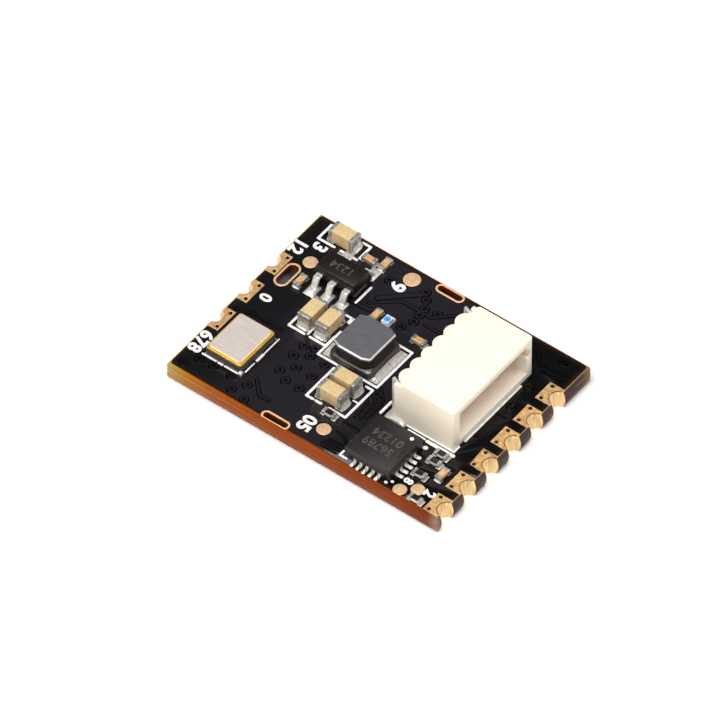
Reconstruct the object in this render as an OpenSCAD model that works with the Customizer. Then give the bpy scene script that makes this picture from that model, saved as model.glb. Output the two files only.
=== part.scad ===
// Flight controller board: a four-layer circuit board with solderable half-holes on
// its two short edges, a five-way 1 mm socket, a switching supply and a small chip.
// Origin: middle of the underside. +X runs to the six half-holes, +Y across, +Z up.
// Places on the board are given from its corner at -X -Y, as a layout drawing gives them.

/* [Board] */
// Length of the board's flat face along X
face_l = 18.3; // [18.3:0.1:20]
// Width of the board's flat face along Y
face_w = 13.6; // [13.6:0.1:15]
// Thickness over both solder masks
board_t = 1.2; // [1:0.1:1.6]
// Thickness of the copper lands and of the solder mask
skin_t = 0.03; // [0.02:0.01:0.05]
// How far the middle of the routed edge stands past its top and bottom
edge_bulge = 0.14; // [0.02:0.01:0.16]
// Gap from the edge of the flat face to the solder mask
mask_margin = 0.06; // [0.04:0.01:0.1]
// Thickness of the core layer of the laminate
core_t = 0.74; // [0.5:0.02:0.9]

/* [Half-holes] */
// Pitch of the six half-holes on the +X edge
right_pitch = 2; // [1.8:0.01:2.1]
// Distance of the first of the six from the -Y edge
right_first = 0.74; // [0.72:0.01:0.9]
// Number of half-holes on the +X edge
right_count = 6; // [4:1:6]
// Pitch of the three half-holes on the -X edge
left_pitch = 2.54; // [2.4:0.01:2.6]
// Distance of the first of the three from the -Y edge
left_first = 4.26; // [4:0.01:4.5]
// Number of half-holes on the -X edge
left_count = 3; // [2:1:3]
// Radius of the plated opening
half_hole_r = 0.5; // [0.4:0.01:0.55]
// Wall of the plating
plating_t = 0.04; // [0.03:0.01:0.05]

/* [Socket] */
// Number of ways
ways = 5; // [3:1:5]
// Pitch of the contacts
way_pitch = 1; // [1:0.05:1]
// Height over the board
socket_h = 2.95; // [2.8:0.05:3.2]
// Wall of the housing at its sides
socket_wall = 0.55; // [0.5:0.05:0.6]

/* [Chip parts] */
// Large capacitor: length, width and height
large_chip = [1.65, 0.87, 0.93];
// Small capacitor or resistor: length, width and height
small_chip = [0.88, 0.46, 0.31];

/* [Power parts] */
// Side of the inductor's foot flange
inductor_side = 3; // [2.8:0.1:3.2]
// Height of the inductor
inductor_h = 1.4; // [1.2:0.1:1.8]
// Length of the regulator's body
regulator_l = 2.8; // [2.6:0.05:3]
// Width of the regulator's body
regulator_w = 1.6; // [1.5:0.05:1.7]
// Height of the regulator over the board
regulator_h = 1.2; // [1:0.05:1.3]

/* [Hidden] */
$fn = 48;
eps = 0.01;

// Board over the bulge of its edges, and heights in the board
board_l = face_l + 2 * edge_bulge;
board_w = face_w + 2 * edge_bulge;
lam_z0 = skin_t;
lam_z1 = board_t - skin_t;
lam_mid = board_t / 2;
core_z0 = lam_mid - core_t / 2;
core_z1 = lam_mid + core_t / 2;
plane_t = 0.035;
plane_margin = 0.5;
top = board_t;

// Plated slots: place, length, width and direction
slots = [[1.23, 8.97, 1.65, 0.65, 90], [9.1, 13.27, 1.6, 0.4, 0], [7.15, 0.25, 1.6, 0.38, 0]];
slot_ring = 0.13;

// Bare round pads: place and radius
round_pads = [[1.68, 10.45, 0.43], [6.85, 12.8, 0.5], [9.62, 1.3, 0.42],
              [16.27, 0.95, 0.4], [15.5, 0.36, 0.4]];

// Vias under the solder mask
via_r = 0.15;
via_bore = 0.09;
via_places = [[0.65, 0.5], [1.2, 1.2], [2.1, 1.3], [3.3, 1.3], [4.4, 1.3], [3.9, 0.55], [4.9, 0.35],
              [1.35, 5.5], [5.15, 5.4], [5.75, 5.6], [5.85, 5], [5.1, 4.5], [5.75, 3.9], [5.15, 3.2],
              [5.85, 2.8], [6.8, 3.9], [6.8, 2.8], [6.85, 5], [5.9, 12], [8.05, 12.5], [8.4, 12.05],
              [8.7, 11.5], [8.75, 10.95], [8.8, 10.4], [9.5, 11.6], [8.45, 9.7], [16.6, 10.45],
              [16.6, 8.8], [17, 13], [11.2, 12.9], [10.4, 5], [10.9, 6.9]];

// Socket, crystal, inductor, regulator and chip: places of their middles
socket_x = 14.37;
socket_y = 7.83;
crystal_at = [2.4, 3.3];
inductor_at = [8.1, 6.95];
regulator_at = [3.98, 10.33];
chip_at = [13.2, 1.95];

// Chip parts: place and direction of their length
large_caps = [[2.3, 12.72, 0], [4.26, 7.27, 90], [5.43, 7.27, 90], [8.72, 4.47, 0], [8.72, 3.3, 0]];
small_caps = [[4.22, 12.45, 0], [5.1, 12.7, 90], [2.15, 8.95, 90], [6.95, 9.45, 90],
              [9.95, 9.35, 0], [16.75, 2.5, 90]];
resistors = [[9.25, 2.3, 0], [15.85, 3.62, 0], [15.85, 2.98, 0], [15.75, 1.8, 0], [16.65, 0.26, 0]];
indicator_at = [7.75, 9.4, 90];

// Coats of the chip parts' ends, and gap between a land and the mask around it
end_coat = 0.03;
mask_gap = 0.05;

// ---- Helpers -------------------------------------------------------------------

// Puts children at a place measured from the corner of the board's flat face
module at(x, y, z = 0, turn = 0) {
    translate([x - face_l / 2, y - face_w / 2, z]) rotate([0, 0, turn]) children();
}

// Rectangle with round corners, in its own plane, about its middle
module round_rect(l, w, r) {
    square([l - 2 * r, w], center = true);
    square([l, w - 2 * r], center = true);
    for (sx = [-1, 1], sy = [-1, 1])
        translate([sx * (l / 2 - r), sy * (w / 2 - r)]) circle(r);
}

// Block standing on z = 0 about its middle in plan
module block(l, w, h) {
    translate([-l / 2, -w / 2, 0]) cube([l, w, h]);
}

// Slot with round ends, in plan
module slot_2d(l, w) {
    square([l - w, w], center = true);
    for (s = [-1, 1]) translate([s * (l - w) / 2, 0]) circle(w / 2);
}

function right_y(i) = right_first + i * right_pitch;
function left_y(i) = left_first + i * left_pitch;

// ---- Board ---------------------------------------------------------------------

// One pair of bulged edges, along Y, as a section in X and Z
module bulged_section(l) {
    half_h = (lam_z1 - lam_z0) / 2;
    edge_r = (half_h * half_h + edge_bulge * edge_bulge) / (2 * edge_bulge);
    intersection() {
        union() {
            square([l - 2 * edge_r, 2 * edge_r], center = true);
            for (s = [-1, 1]) translate([s * (l / 2 - edge_r), 0]) circle(edge_r, $fn = 96);
        }
        square([l + 1, 2 * half_h], center = true);
    }
}

// The whole laminate before drilling, with its routed edges a little convex
module laminate_blank() {
    intersection() {
        translate([0, board_w / 2 + 1, lam_mid]) rotate([90, 0, 0])
            linear_extrude(board_w + 2) bulged_section(board_l);
        translate([-board_l / 2 - 1, 0, lam_mid]) rotate([90, 0, 90])
            linear_extrude(board_l + 2) bulged_section(board_w);
        linear_extrude(board_t) round_rect(board_l, board_w, 0.32);
    }
}

// Every drilled or milled opening, in plan, at the wall of its plating
module drillings_2d(grow = 0) {
    for (i = [0 : right_count - 1])
        at(face_l + 0.05, right_y(i)) circle(half_hole_r + plating_t + grow);
    for (i = [0 : left_count - 1])
        at(-0.12, left_y(i)) circle(half_hole_r + plating_t + grow);
    for (s = slots)
        at(s[0], s[1], 0, s[4]) slot_2d(s[2] + 2 * (plating_t + grow), s[3] + 2 * (plating_t + grow));
    for (v = via_places) at(v[0], v[1]) circle(via_r + grow);
    pad_via_places() circle(pad_via_r + plating_t + grow);
}

pad_via_r = 0.11;

// The pair of tiny vias in each edge pad
module pad_via_places() {
    for (i = [0 : right_count - 1], s = [-1, 1])
        at(face_l - 0.72, right_y(i) + s * 0.52) children();
    for (i = [0 : left_count - 1], s = [-1, 1])
        at(0.5, left_y(i) + s * 0.6) children();
}

// One layer of the drilled laminate between two heights
module laminate_layer(z0, z1) {
    difference() {
        intersection() {
            laminate_blank();
            translate([0, 0, z0]) linear_extrude(z1 - z0)
                square([board_l + 1, board_w + 1], center = true);
        }
        linear_extrude(board_t) drillings_2d();
    }
}

module laminate_core() {
    color("#8a4a1c") laminate_layer(core_z0, core_z1);
}

module upper_prepreg() {
    color("#94521f") difference() {
        laminate_layer(core_z1, lam_z1);
        plane_solid(core_z1);
    }
}

module lower_prepreg() {
    color("#94521f") difference() {
        laminate_layer(lam_z0, core_z0);
        plane_solid(core_z0 - plane_t);
    }
}

// Inner copper sheet, pulled back from the edges and clear of every opening
module plane_solid(z) {
    translate([0, 0, z]) linear_extrude(plane_t) difference() {
        square([board_l - 2 * plane_margin, board_w - 2 * plane_margin], center = true);
        drillings_2d(0.12);
    }
}

module ground_plane() {
    color("#b8733a") plane_solid(core_z1);
}

module supply_plane() {
    color("#b8733a") plane_solid(core_z0 - plane_t);
}

// Solder mask outline less the edge pads, the slot rings and the openings
module mask_2d() {
    difference() {
        round_rect(face_l - 2 * mask_margin, face_w - 2 * mask_margin, 0.22);
        edge_pads_2d(mask_gap);
        for (s = slots)
            at(s[0], s[1], 0, s[4])
                slot_2d(s[2] + 2 * (slot_ring + mask_gap), s[3] + 2 * (slot_ring + mask_gap));
    }
}

module top_solder_mask() {
    color("#1b191c") translate([0, 0, lam_z1]) linear_extrude(skin_t) difference() {
        mask_2d();
        for (p = round_pads) at(p[0], p[1]) circle(p[2] + mask_gap);
        lands_2d(mask_gap);
    }
}

module bottom_solder_mask() {
    color("#1b191c") linear_extrude(skin_t) mask_2d();
}

module through_vias() {
    color("#c08a4a") for (v = via_places) at(v[0], v[1], lam_z0) difference() {
        cylinder(r = via_r, h = lam_z1 - lam_z0);
        translate([0, 0, -eps]) cylinder(r = via_bore, h = board_t);
    }
}

// ---- Plated edges, slots and pads ----------------------------------------------

// The rectangles of the edge pads
module edge_pads_2d(grow = 0) {
    for (i = [0 : right_count - 1])
        at(face_l - 0.5, right_y(i)) square([1 + 2 * grow, 1.4 + 2 * grow], center = true);
    for (i = [0 : left_count - 1])
        at(0.36, left_y(i)) square([0.72 + 2 * grow, 1.66 + 2 * grow], center = true);
}

// Pads on both faces with the half barrel and the two via barrels, for one side
module plated_edge(side) {
    difference() {
        union() {
            intersection() {
                union() {
                    linear_extrude(skin_t) edge_pads_2d();
                    translate([0, 0, lam_z1]) linear_extrude(skin_t) edge_pads_2d();
                }
                linear_extrude(board_t)
                    round_rect(face_l, face_w, 0.24);
            }
            intersection() {
                laminate_blank();
                linear_extrude(board_t) half_barrels_2d(plating_t);
            }
            translate([0, 0, lam_z0 - eps]) linear_extrude(lam_z1 - lam_z0 + 2 * eps)
                pad_via_places() circle(pad_via_r + plating_t);
        }
        translate([0, 0, -eps]) linear_extrude(board_t + 2 * eps) {
            half_barrels_2d(0);
            pad_via_places() circle(pad_via_r);
            translate([side > 0 ? -board_l : 0, -board_w])
                square([board_l, 2 * board_w]);
        }
    }
}

module half_barrels_2d(grow) {
    for (i = [0 : right_count - 1]) at(face_l + 0.05, right_y(i)) circle(half_hole_r + grow);
    for (i = [0 : left_count - 1]) at(-0.12, left_y(i)) circle(half_hole_r + grow);
}

module right_edge_pads() {
    color("#c99a58") plated_edge(1);
}

module left_edge_pads() {
    color("#c99a58") plated_edge(-1);
}

// Ring on each face joined by the plated wall of the slot
module slot_platings() {
    color("#d9a25e") intersection() {
        for (s = slots) at(s[0], s[1], 0, s[4]) difference() {
            union() {
                for (z = [0, lam_z1]) translate([0, 0, z]) linear_extrude(skin_t)
                    slot_2d(s[2] + 2 * slot_ring, s[3] + 2 * slot_ring);
                linear_extrude(board_t) slot_2d(s[2] + 2 * plating_t, s[3] + 2 * plating_t);
            }
            translate([0, 0, -eps]) linear_extrude(board_t + 2 * eps) slot_2d(s[2], s[3]);
        }
        linear_extrude(board_t) square([face_l, face_w], center = true);
    }
}

module test_pads() {
    color("#b9814a") intersection() {
        for (p = round_pads) at(p[0], p[1], lam_z1) cylinder(r = p[2], h = skin_t);
        linear_extrude(board_t) square([face_l - 0.04, face_w - 0.04], center = true);
    }
}

// ---- Lands under the parts -----------------------------------------------------

// Two lands for a chip part of length l and width w
module chip_lands_2d(l, w, grow) {
    land = 0.3 * l;
    for (s = [-1, 1]) translate([s * (l / 2 - land / 2 + 0.07 * l), 0])
        square([land + 2 * grow, w + 2 * grow], center = true);
}

module lands_2d(grow = 0) {
    for (c = large_caps) at(c[0], c[1], 0, c[2]) chip_lands_2d(large_chip[0], large_chip[1], grow);
    for (c = concat(small_caps, resistors, [indicator_at]))
        at(c[0], c[1], 0, c[2]) chip_lands_2d(small_chip[0], small_chip[1], grow);
    at(crystal_at[0], crystal_at[1]) for (sx = [-1, 1], sy = [-1, 1])
        translate([sx * 0.75, sy * 1.08]) square([0.95 + 2 * grow, 1.05 + 2 * grow], center = true);
    at(inductor_at[0], inductor_at[1]) for (s = [-1, 1])
        translate([s * 1.45, 0]) square([0.85 + 2 * grow, 2.75 + 2 * grow], center = true);
    at(regulator_at[0], regulator_at[1]) for (t = lead_places)
        translate([t[0], t[1] * 1.38]) square([0.55 + 2 * grow, 0.75 + 2 * grow], center = true);
    at(chip_at[0], chip_at[1]) {
        chip_ring(1.5) square([0.7 + 2 * grow, 0.22 + 2 * min(grow, 0.03)], center = true);
        square([chip_pad + 2 * grow, chip_pad + 2 * grow], center = true);
    }
    for (y = contact_y) at(socket_x - 2.35, y) square([1.1 + 2 * grow, 0.55 + 2 * grow], center = true);
    for (s = [-1, 1]) at(socket_x - 2.05, socket_y + s * 3.4)
        square([1.35 + 2 * grow, 0.8 + 2 * grow], center = true);
}

module component_lands() {
    color("#c9b38a") translate([0, 0, lam_z1]) linear_extrude(skin_t) intersection() {
        lands_2d();
        square([face_l - 0.1, face_w - 0.1], center = true);
    }
}

// ---- Socket --------------------------------------------------------------------

contact_y = [for (i = [0 : ways - 1]) socket_y + (i - (ways - 1) / 2) * way_pitch];
socket_w = (ways - 1) * way_pitch + 3.1;
socket_front = 1.78;
socket_rear = -1.9;
step_drop = 0.4;
socket_lift = 0.04;
floor_h = 0.42;
roof_t = 0.38;
contact_z = 1.55;
contact_w = 0.22;

// Scalloped step behind the main block: one lobe on each side of every contact
module rear_lobes_2d() {
    for (i = [0 : ways]) translate([socket_rear - 0.07, (i - ways / 2) * way_pitch])
        circle(0.62 * way_pitch);
    translate([socket_rear, -(ways / 2 + 0.5) * way_pitch]) square([0.6, (ways + 1) * way_pitch]);
}

module socket_housing() {
    color("#f7f1dd") at(socket_x, socket_y, top) difference() {
        union() {
            translate([0, 0, socket_lift]) linear_extrude(socket_h - socket_lift)
                translate([(socket_front + socket_rear) / 2, 0])
                    round_rect(socket_front - socket_rear, socket_w, 0.18);
            translate([0, 0, socket_lift]) linear_extrude(socket_h - step_drop - socket_lift)
                rear_lobes_2d();
            for (s = [-1, 1]) translate([socket_rear - 0.35, s * (socket_w / 2 - 0.12) - 0.12, socket_lift])
                cube([1, 0.24, socket_h - 0.24 - socket_lift]);
        }
        // Mouth, with a keyed recess in its far wall
        translate([-0.75, -(socket_w / 2 - socket_wall), floor_h])
            cube([socket_front + 1, socket_w - 2 * socket_wall, socket_h - floor_h - roof_t]);
        translate([0.3, 0, floor_h + 1.2]) cube([socket_front, socket_w / 2 - 0.25, 0.62]);
        for (y = contact_y) translate([0, y - socket_y, 0]) contact_form(0);
        for (s = [-1, 1]) mirror([0, s < 0 ? 1 : 0, 0]) tab_form();
    }
}

// Formed contact: foot, riser and pin
module contact_form(grow) {
    t = 0.2;
    translate([0, contact_w / 2, 0]) rotate([90, 0, 0]) linear_extrude(contact_w) polygon([
        [-2.85, 0], [-2.2, 0], [-2.0, 0.2], [-2.0, contact_z], [1.1, contact_z],
        [1.25, contact_z + t / 2], [1.1, contact_z + t], [-2.2, contact_z + t],
        [-2.2, 0.3], [-2.3, t], [-2.85, t]]);
}

module socket_contacts() {
    color("#c8bfae") for (y = contact_y) at(socket_x, y, top) contact_form(0);
}

// Hold-down tab: an upright plate let into the end wall, with a foot turned outwards
module tab_form() {
    y0 = socket_w / 2 - 0.44;
    translate([0, y0 + 0.16, 0]) rotate([90, 0, 0]) linear_extrude(0.16)
        polygon([[-2.6, 0], [-1.4, 0], [-1.4, 1.2], [-1.9, 1.2], [-1.9, 2.46], [-2.12, 2.5], [-2.5, 2.76], [-2.6, 2.7]]);
    translate([-2.6, y0, 0]) cube([1.2, 0.66, socket_lift]);
}

module socket_tabs() {
    color("#b9b6b2") for (s = [-1, 1]) at(socket_x, socket_y, top)
        mirror([0, s < 0 ? 1 : 0, 0]) tab_form();
}

// ---- Crystal -------------------------------------------------------------------

crystal_l = 3.2;
crystal_w = 2.5;
base_h = 0.4;
base_floor = 0.14;
ring_h = 0.12;
lid_h = 0.12;
crystal_z = top + skin_t;

module crystal_base() {
    color("#3a332d") at(crystal_at[0], crystal_at[1], crystal_z) difference() {
        linear_extrude(base_h) difference() {
            square([crystal_w, crystal_l], center = true);
            for (sx = [-1, 1], sy = [-1, 1]) translate([sx * crystal_w / 2, sy * crystal_l / 2]) circle(0.13);
        }
        translate([0, 0, base_floor]) block(1.75, 2.45, base_h);
        translate([0, 0, base_floor - 0.06]) block(1.55, 1.9, base_h);
    }
}

module crystal_terminals() {
    color("#d8b15f") for (sx = [-1, 1], sy = [-1, 1])
        at(crystal_at[0] + sx * 0.75, crystal_at[1] + sy * 1.1, top) block(0.85, 0.9, skin_t);
}

// Thin quartz plate held at one end over the well in the base
module crystal_blank() {
    color("#dfe6ea") at(crystal_at[0], crystal_at[1], crystal_z + base_floor) block(1.3, 2.2, 0.05);
}

module crystal_seal_ring() {
    color("#d9a441") at(crystal_at[0], crystal_at[1], crystal_z + base_h) linear_extrude(ring_h) difference() {
        round_rect(crystal_w - 0.1, crystal_l - 0.1, 0.16);
        round_rect(crystal_w - 0.75, crystal_l - 0.75, 0.1);
    }
}

module crystal_lid() {
    color("#b9a8a2") at(crystal_at[0], crystal_at[1], crystal_z + base_h + ring_h)
        linear_extrude(lid_h) round_rect(crystal_w - 0.3, crystal_l - 0.28, 0.2);
}

// ---- Inductor ------------------------------------------------------------------

foot_t = 0.42;
cap_t = 0.27;
post_r = 0.78;
coil_r = 1.2;
terminal_t = 0.1;
inductor_z = top + terminal_t;
coil_z0 = inductor_z + foot_t;
coil_z1 = top + inductor_h - cap_t;

// Rectangle with cut corners, in plan: cut_x is the part lost along X, cut_y along Y
module cut_square(l, w, cut_x, cut_y) {
    polygon([[l / 2, w / 2 - cut_y], [l / 2 - cut_x, w / 2], [cut_x - l / 2, w / 2], [-l / 2, w / 2 - cut_y],
             [-l / 2, cut_y - w / 2], [cut_x - l / 2, -w / 2], [l / 2 - cut_x, -w / 2], [l / 2, cut_y - w / 2]]);
}

module inductor_core() {
    color("#6f6e73") at(inductor_at[0], inductor_at[1], 0) {
        translate([0, 0, inductor_z]) linear_extrude(foot_t, scale = 0.95)
            round_rect(inductor_side, inductor_side, 0.4);
        translate([0, 0, inductor_z]) cylinder(r = post_r, h = top + inductor_h - inductor_z);
        translate([0, 0, coil_z1]) linear_extrude(cap_t) cut_square(2.5, 2.76, 0.48, 0.2);
    }
}

module inductor_winding() {
    color("#a4561f") at(inductor_at[0], inductor_at[1], coil_z0) difference() {
        cylinder(r = coil_r, h = coil_z1 - coil_z0);
        translate([0, 0, -eps]) cylinder(r = post_r, h = inductor_h);
    }
}

module inductor_resin() {
    color("#2c2620") at(inductor_at[0], inductor_at[1], coil_z0) difference() {
        linear_extrude(coil_z1 - coil_z0, scale = 0.9) round_rect(2.7, 2.76, 0.75);
        translate([0, 0, -eps]) cylinder(r = coil_r, h = inductor_h);
    }
}

// Two flat terminals under the foot, one at each end
module inductor_terminals() {
    color("#cfcac2") at(inductor_at[0], inductor_at[1], top) for (s = [-1, 1])
        translate([s * 1.25, 0, 0]) block(0.7, 2.5, terminal_t);
}

// ---- Regulator -----------------------------------------------------------------

// Lead places: distance along X and side in Y
lead_places = [[-0.95, -1], [0, -1], [0.95, -1], [-0.95, 1], [0.95, 1]];
lead_t = 0.15;
lead_w = 0.4;
lead_z = 0.62;
body_gap = 0.1;

// Moulded body with draft above and below its parting line
module drafted_section(l, h, part_z, draft) {
    polygon([[-l / 2 + draft, 0], [l / 2 - draft, 0], [l / 2, part_z],
             [l / 2 - draft, h], [-l / 2 + draft, h], [-l / 2, part_z]]);
}

module drafted_block(l, w, h, part_z, draft) {
    intersection() {
        translate([0, w, 0]) rotate([90, 0, 0]) linear_extrude(2 * w) drafted_section(l, h, part_z, draft);
        translate([-l, 0, 0]) rotate([90, 0, 90]) linear_extrude(2 * l) drafted_section(w, h, part_z, draft);
    }
}

// Gull-wing lead: foot, slope and the part held in the body
module gull_lead() {
    translate([-lead_w / 2, 0, 0]) rotate([90, 0, 90]) linear_extrude(lead_w) polygon([
        [1.7, 0], [1.26, 0], [1.0, lead_z], [0.55, lead_z], [0.55, lead_z + lead_t],
        [1.1, lead_z + lead_t], [1.38, lead_t], [1.7, lead_t]]);
}

module regulator_metal() {
    for (t = lead_places) translate([t[0], 0, 0]) mirror([0, t[1] < 0 ? 1 : 0, 0]) gull_lead();
}

module regulator_body() {
    color("#2b2420") at(regulator_at[0], regulator_at[1], top) difference() {
        translate([0, 0, body_gap])
            drafted_block(regulator_l, regulator_w, regulator_h - body_gap, lead_z - body_gap + lead_t / 2, 0.11);
        regulator_metal();
        translate([0, 0, lead_z]) block(0.9, 0.7, 0.28);
    }
}

module regulator_leads() {
    color("#cfd0d2") at(regulator_at[0], regulator_at[1], top) regulator_metal();
}

module regulator_die() {
    color("#5d6470") at(regulator_at[0], regulator_at[1], top + lead_z) block(0.9, 0.7, 0.28);
}

// ---- Chip ----------------------------------------------------------------------

chip_side = 3;
chip_h = 0.8;
chip_pad = 1.65;
chip_pitch = 0.41;
chip_row = 5;
contact_l = 0.42;
contact_t = 0.2;

// Children at each contact place, at a distance from the middle, on all four sides
module chip_ring(reach) {
    for (turn = [0 : 90 : 270]) rotate([0, 0, turn])
        for (i = [0 : chip_row - 1]) translate([reach, (i - (chip_row - 1) / 2) * chip_pitch, 0]) children();
}

module chip_metal() {
    chip_ring(chip_side / 2 - contact_l / 2) block(contact_l, 0.2, contact_t);
}

module chip_body() {
    color("#2e2a29") at(chip_at[0], chip_at[1], top) difference() {
        block(chip_side, chip_side, chip_h);
        chip_metal();
        block(chip_pad, chip_pad, contact_t);
        translate([0, 0, contact_t]) block(1.4, 1.4, 0.25);
        // Moulded dot that marks the first contact
        translate([1.05, 1.12, chip_h - 0.03]) cylinder(r = 0.13, h = 0.1);
    }
}

module chip_contacts() {
    color("#c9c6c0") at(chip_at[0], chip_at[1], top) chip_metal();
}

module chip_heat_pad() {
    color("#c9c6c0") at(chip_at[0], chip_at[1], top) block(chip_pad, chip_pad, contact_t);
}

module chip_die() {
    color("#5d6470") at(chip_at[0], chip_at[1], top + contact_t) block(1.4, 1.4, 0.25);
}

// ---- Chip capacitors and resistors ---------------------------------------------

// Ceramic block of a chip part: size is that of the whole part
module chip_ceramic(size) {
    translate([0, 0, end_coat])
        block(size[0] - 2 * end_coat, size[1] - 2 * end_coat, size[2] - 2 * end_coat);
}

// The two metal caps that wrap the ends
module chip_ends(size, band) {
    difference() {
        for (s = [-1, 1]) translate([s * (size[0] - band) / 2, 0, 0]) block(band, size[1], size[2]);
        chip_ceramic(size);
    }
}

large_band = 0.25;
small_band = 0.2;

module large_capacitor_bodies() {
    color("#e0be80") for (c = large_caps) at(c[0], c[1], top, c[2]) chip_ceramic(large_chip);
}

module large_capacitor_ends() {
    color("#d7d3cc") for (c = large_caps) at(c[0], c[1], top, c[2]) chip_ends(large_chip, large_band);
}

module small_capacitor_bodies() {
    color("#b98a55") for (c = small_caps) at(c[0], c[1], top, c[2]) chip_ceramic(small_chip);
}

module small_capacitor_ends() {
    color("#d7d3cc") for (c = small_caps) at(c[0], c[1], top, c[2]) chip_ends(small_chip, small_band);
}

resistor_size = [small_chip[0] * 0.95, small_chip[1] * 0.92, 0.26];
coat_t = 0.03;

module resistor_bodies() {
    color("#e9e6df") for (c = resistors) at(c[0], c[1], top, c[2]) chip_ceramic(resistor_size);
}

module resistor_ends() {
    color("#d7d3cc") for (c = resistors) at(c[0], c[1], top, c[2]) chip_ends(resistor_size, small_band);
}

// Black glass over the resistive film, between the two ends
module resistor_coats() {
    color("#1a1a1c") for (c = resistors) at(c[0], c[1], top + resistor_size[2] - end_coat, c[2])
        block(resistor_size[0] - 2 * small_band, resistor_size[1] - 2 * end_coat, coat_t);
}

// ---- Indicator -----------------------------------------------------------------

indicator_base_h = 0.18;
indicator_h = 0.42;

module indicator_base() {
    color("#eef2f5") at(indicator_at[0], indicator_at[1], top + end_coat, indicator_at[2])
        block(small_chip[0], small_chip[1], indicator_base_h);
}

module indicator_lens() {
    color("#a9d4f2") at(indicator_at[0], indicator_at[1], top + end_coat + indicator_base_h, indicator_at[2])
        block(0.58, small_chip[1], indicator_h - indicator_base_h - end_coat);
}

module indicator_terminals() {
    color("#d9b36a") at(indicator_at[0], indicator_at[1], top, indicator_at[2])
        for (s = [-1, 1]) translate([s * 0.31, 0, 0]) block(0.26, small_chip[1], end_coat);
}

laminate_core();
upper_prepreg();
lower_prepreg();
ground_plane();
supply_plane();
top_solder_mask();
bottom_solder_mask();
through_vias();
right_edge_pads();
left_edge_pads();
slot_platings();
test_pads();
component_lands();
socket_housing();
socket_contacts();
socket_tabs();
crystal_base();
crystal_terminals();
crystal_blank();
crystal_seal_ring();
crystal_lid();
inductor_core();
inductor_winding();
inductor_resin();
inductor_terminals();
regulator_body();
regulator_leads();
regulator_die();
chip_body();
chip_contacts();
chip_heat_pad();
chip_die();
large_capacitor_bodies();
large_capacitor_ends();
small_capacitor_bodies();
small_capacitor_ends();
resistor_bodies();
resistor_ends();
resistor_coats();
indicator_base();
indicator_lens();
indicator_terminals();
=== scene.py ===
"""Looks of a small flight controller board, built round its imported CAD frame.

The sections follow the board as it is made: laminate, mask, plating, print, solder and then each part.
"""
from math import atan2, cos, pi, radians, sin

import bmesh
import bpy
from mathutils import Matrix, Vector, noise


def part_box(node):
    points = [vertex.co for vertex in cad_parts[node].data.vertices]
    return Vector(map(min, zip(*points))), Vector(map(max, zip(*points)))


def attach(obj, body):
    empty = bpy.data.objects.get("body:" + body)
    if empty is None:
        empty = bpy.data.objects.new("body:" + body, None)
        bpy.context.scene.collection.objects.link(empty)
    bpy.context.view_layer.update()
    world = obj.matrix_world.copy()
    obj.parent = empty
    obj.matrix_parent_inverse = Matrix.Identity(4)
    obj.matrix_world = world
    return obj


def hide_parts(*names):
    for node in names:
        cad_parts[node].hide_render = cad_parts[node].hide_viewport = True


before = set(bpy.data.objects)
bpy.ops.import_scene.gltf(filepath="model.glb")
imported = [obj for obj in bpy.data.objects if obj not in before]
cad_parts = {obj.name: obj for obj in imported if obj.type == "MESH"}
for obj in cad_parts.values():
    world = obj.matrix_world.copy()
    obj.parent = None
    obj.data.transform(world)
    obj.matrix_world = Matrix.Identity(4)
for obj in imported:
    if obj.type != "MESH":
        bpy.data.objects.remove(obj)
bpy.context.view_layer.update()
MM = 0.001

# ---- Laminate ------------------------------------------------------------------
# Glass cloth in amber epoxy, pressed in layers and routed to size. The routed edge is
# smooth and a little convex; light soaks through its corners and turns them yellow.

board_low, board_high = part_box("laminate_core")
board_l = board_high.x - board_low.x
board_w = board_high.y - board_low.y
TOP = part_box("top_solder_mask")[1].z


def linear(hex_colour):
    """Linear RGBA of an sRGB hex colour."""
    parts = [int(hex_colour[i:i + 2], 16) / 255 for i in (1, 3, 5)]
    return [p / 12.92 if p <= 0.04045 else ((p + 0.055) / 1.055) ** 2.4 for p in parts] + [1.0]


def new_material(name):
    made = bpy.data.materials.new(name)
    made.use_nodes = True
    made.node_tree.nodes.clear()
    return made, made.node_tree


def add(tree, kind, settings=None, links=None):
    """Adds a node, sets its properties or sockets, and links its sockets to other nodes' outputs."""
    made = tree.nodes.new("ShaderNode" + kind)
    for key, value in (settings or {}).items():
        if key == "ramp":
            for _ in range(len(value) - 2):
                made.color_ramp.elements.new(0.5)
            for element, (place, colour) in zip(made.color_ramp.elements, value):
                element.position = place
                element.color = linear(colour)
        elif isinstance(key, str) and hasattr(made, key):
            setattr(made, key, value)
        else:
            socket = made.inputs[key]
            socket.default_value = linear(value) if isinstance(value, str) else value
    for key, source in (links or {}).items():
        tree.links.new(source, made.inputs[key])
    return made


def solid_boxes(node):
    """Lowest and highest corner of each separate solid in a CAD node, from left to right."""
    bm = bmesh.new()
    bm.from_mesh(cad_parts[node].data)
    bmesh.ops.remove_doubles(bm, verts=bm.verts, dist=1e-8)
    bm.verts.ensure_lookup_table()
    seen = [False] * len(bm.verts)
    boxes = []
    for start in range(len(bm.verts)):
        if seen[start]:
            continue
        seen[start] = True
        stack, points = [bm.verts[start]], []
        while stack:
            vert = stack.pop()
            points.append(vert.co.copy())
            for edge in vert.link_edges:
                other = edge.other_vert(vert)
                if not seen[other.index]:
                    seen[other.index] = True
                    stack.append(other)
        boxes.append((Vector([min(p[i] for p in points) for i in range(3)]),
                      Vector([max(p[i] for p in points) for i in range(3)])))
    bm.free()
    return sorted(boxes, key=lambda b: (round(b[0].x, 6), round(b[0].y, 6), round(b[0].z, 6)))


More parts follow.
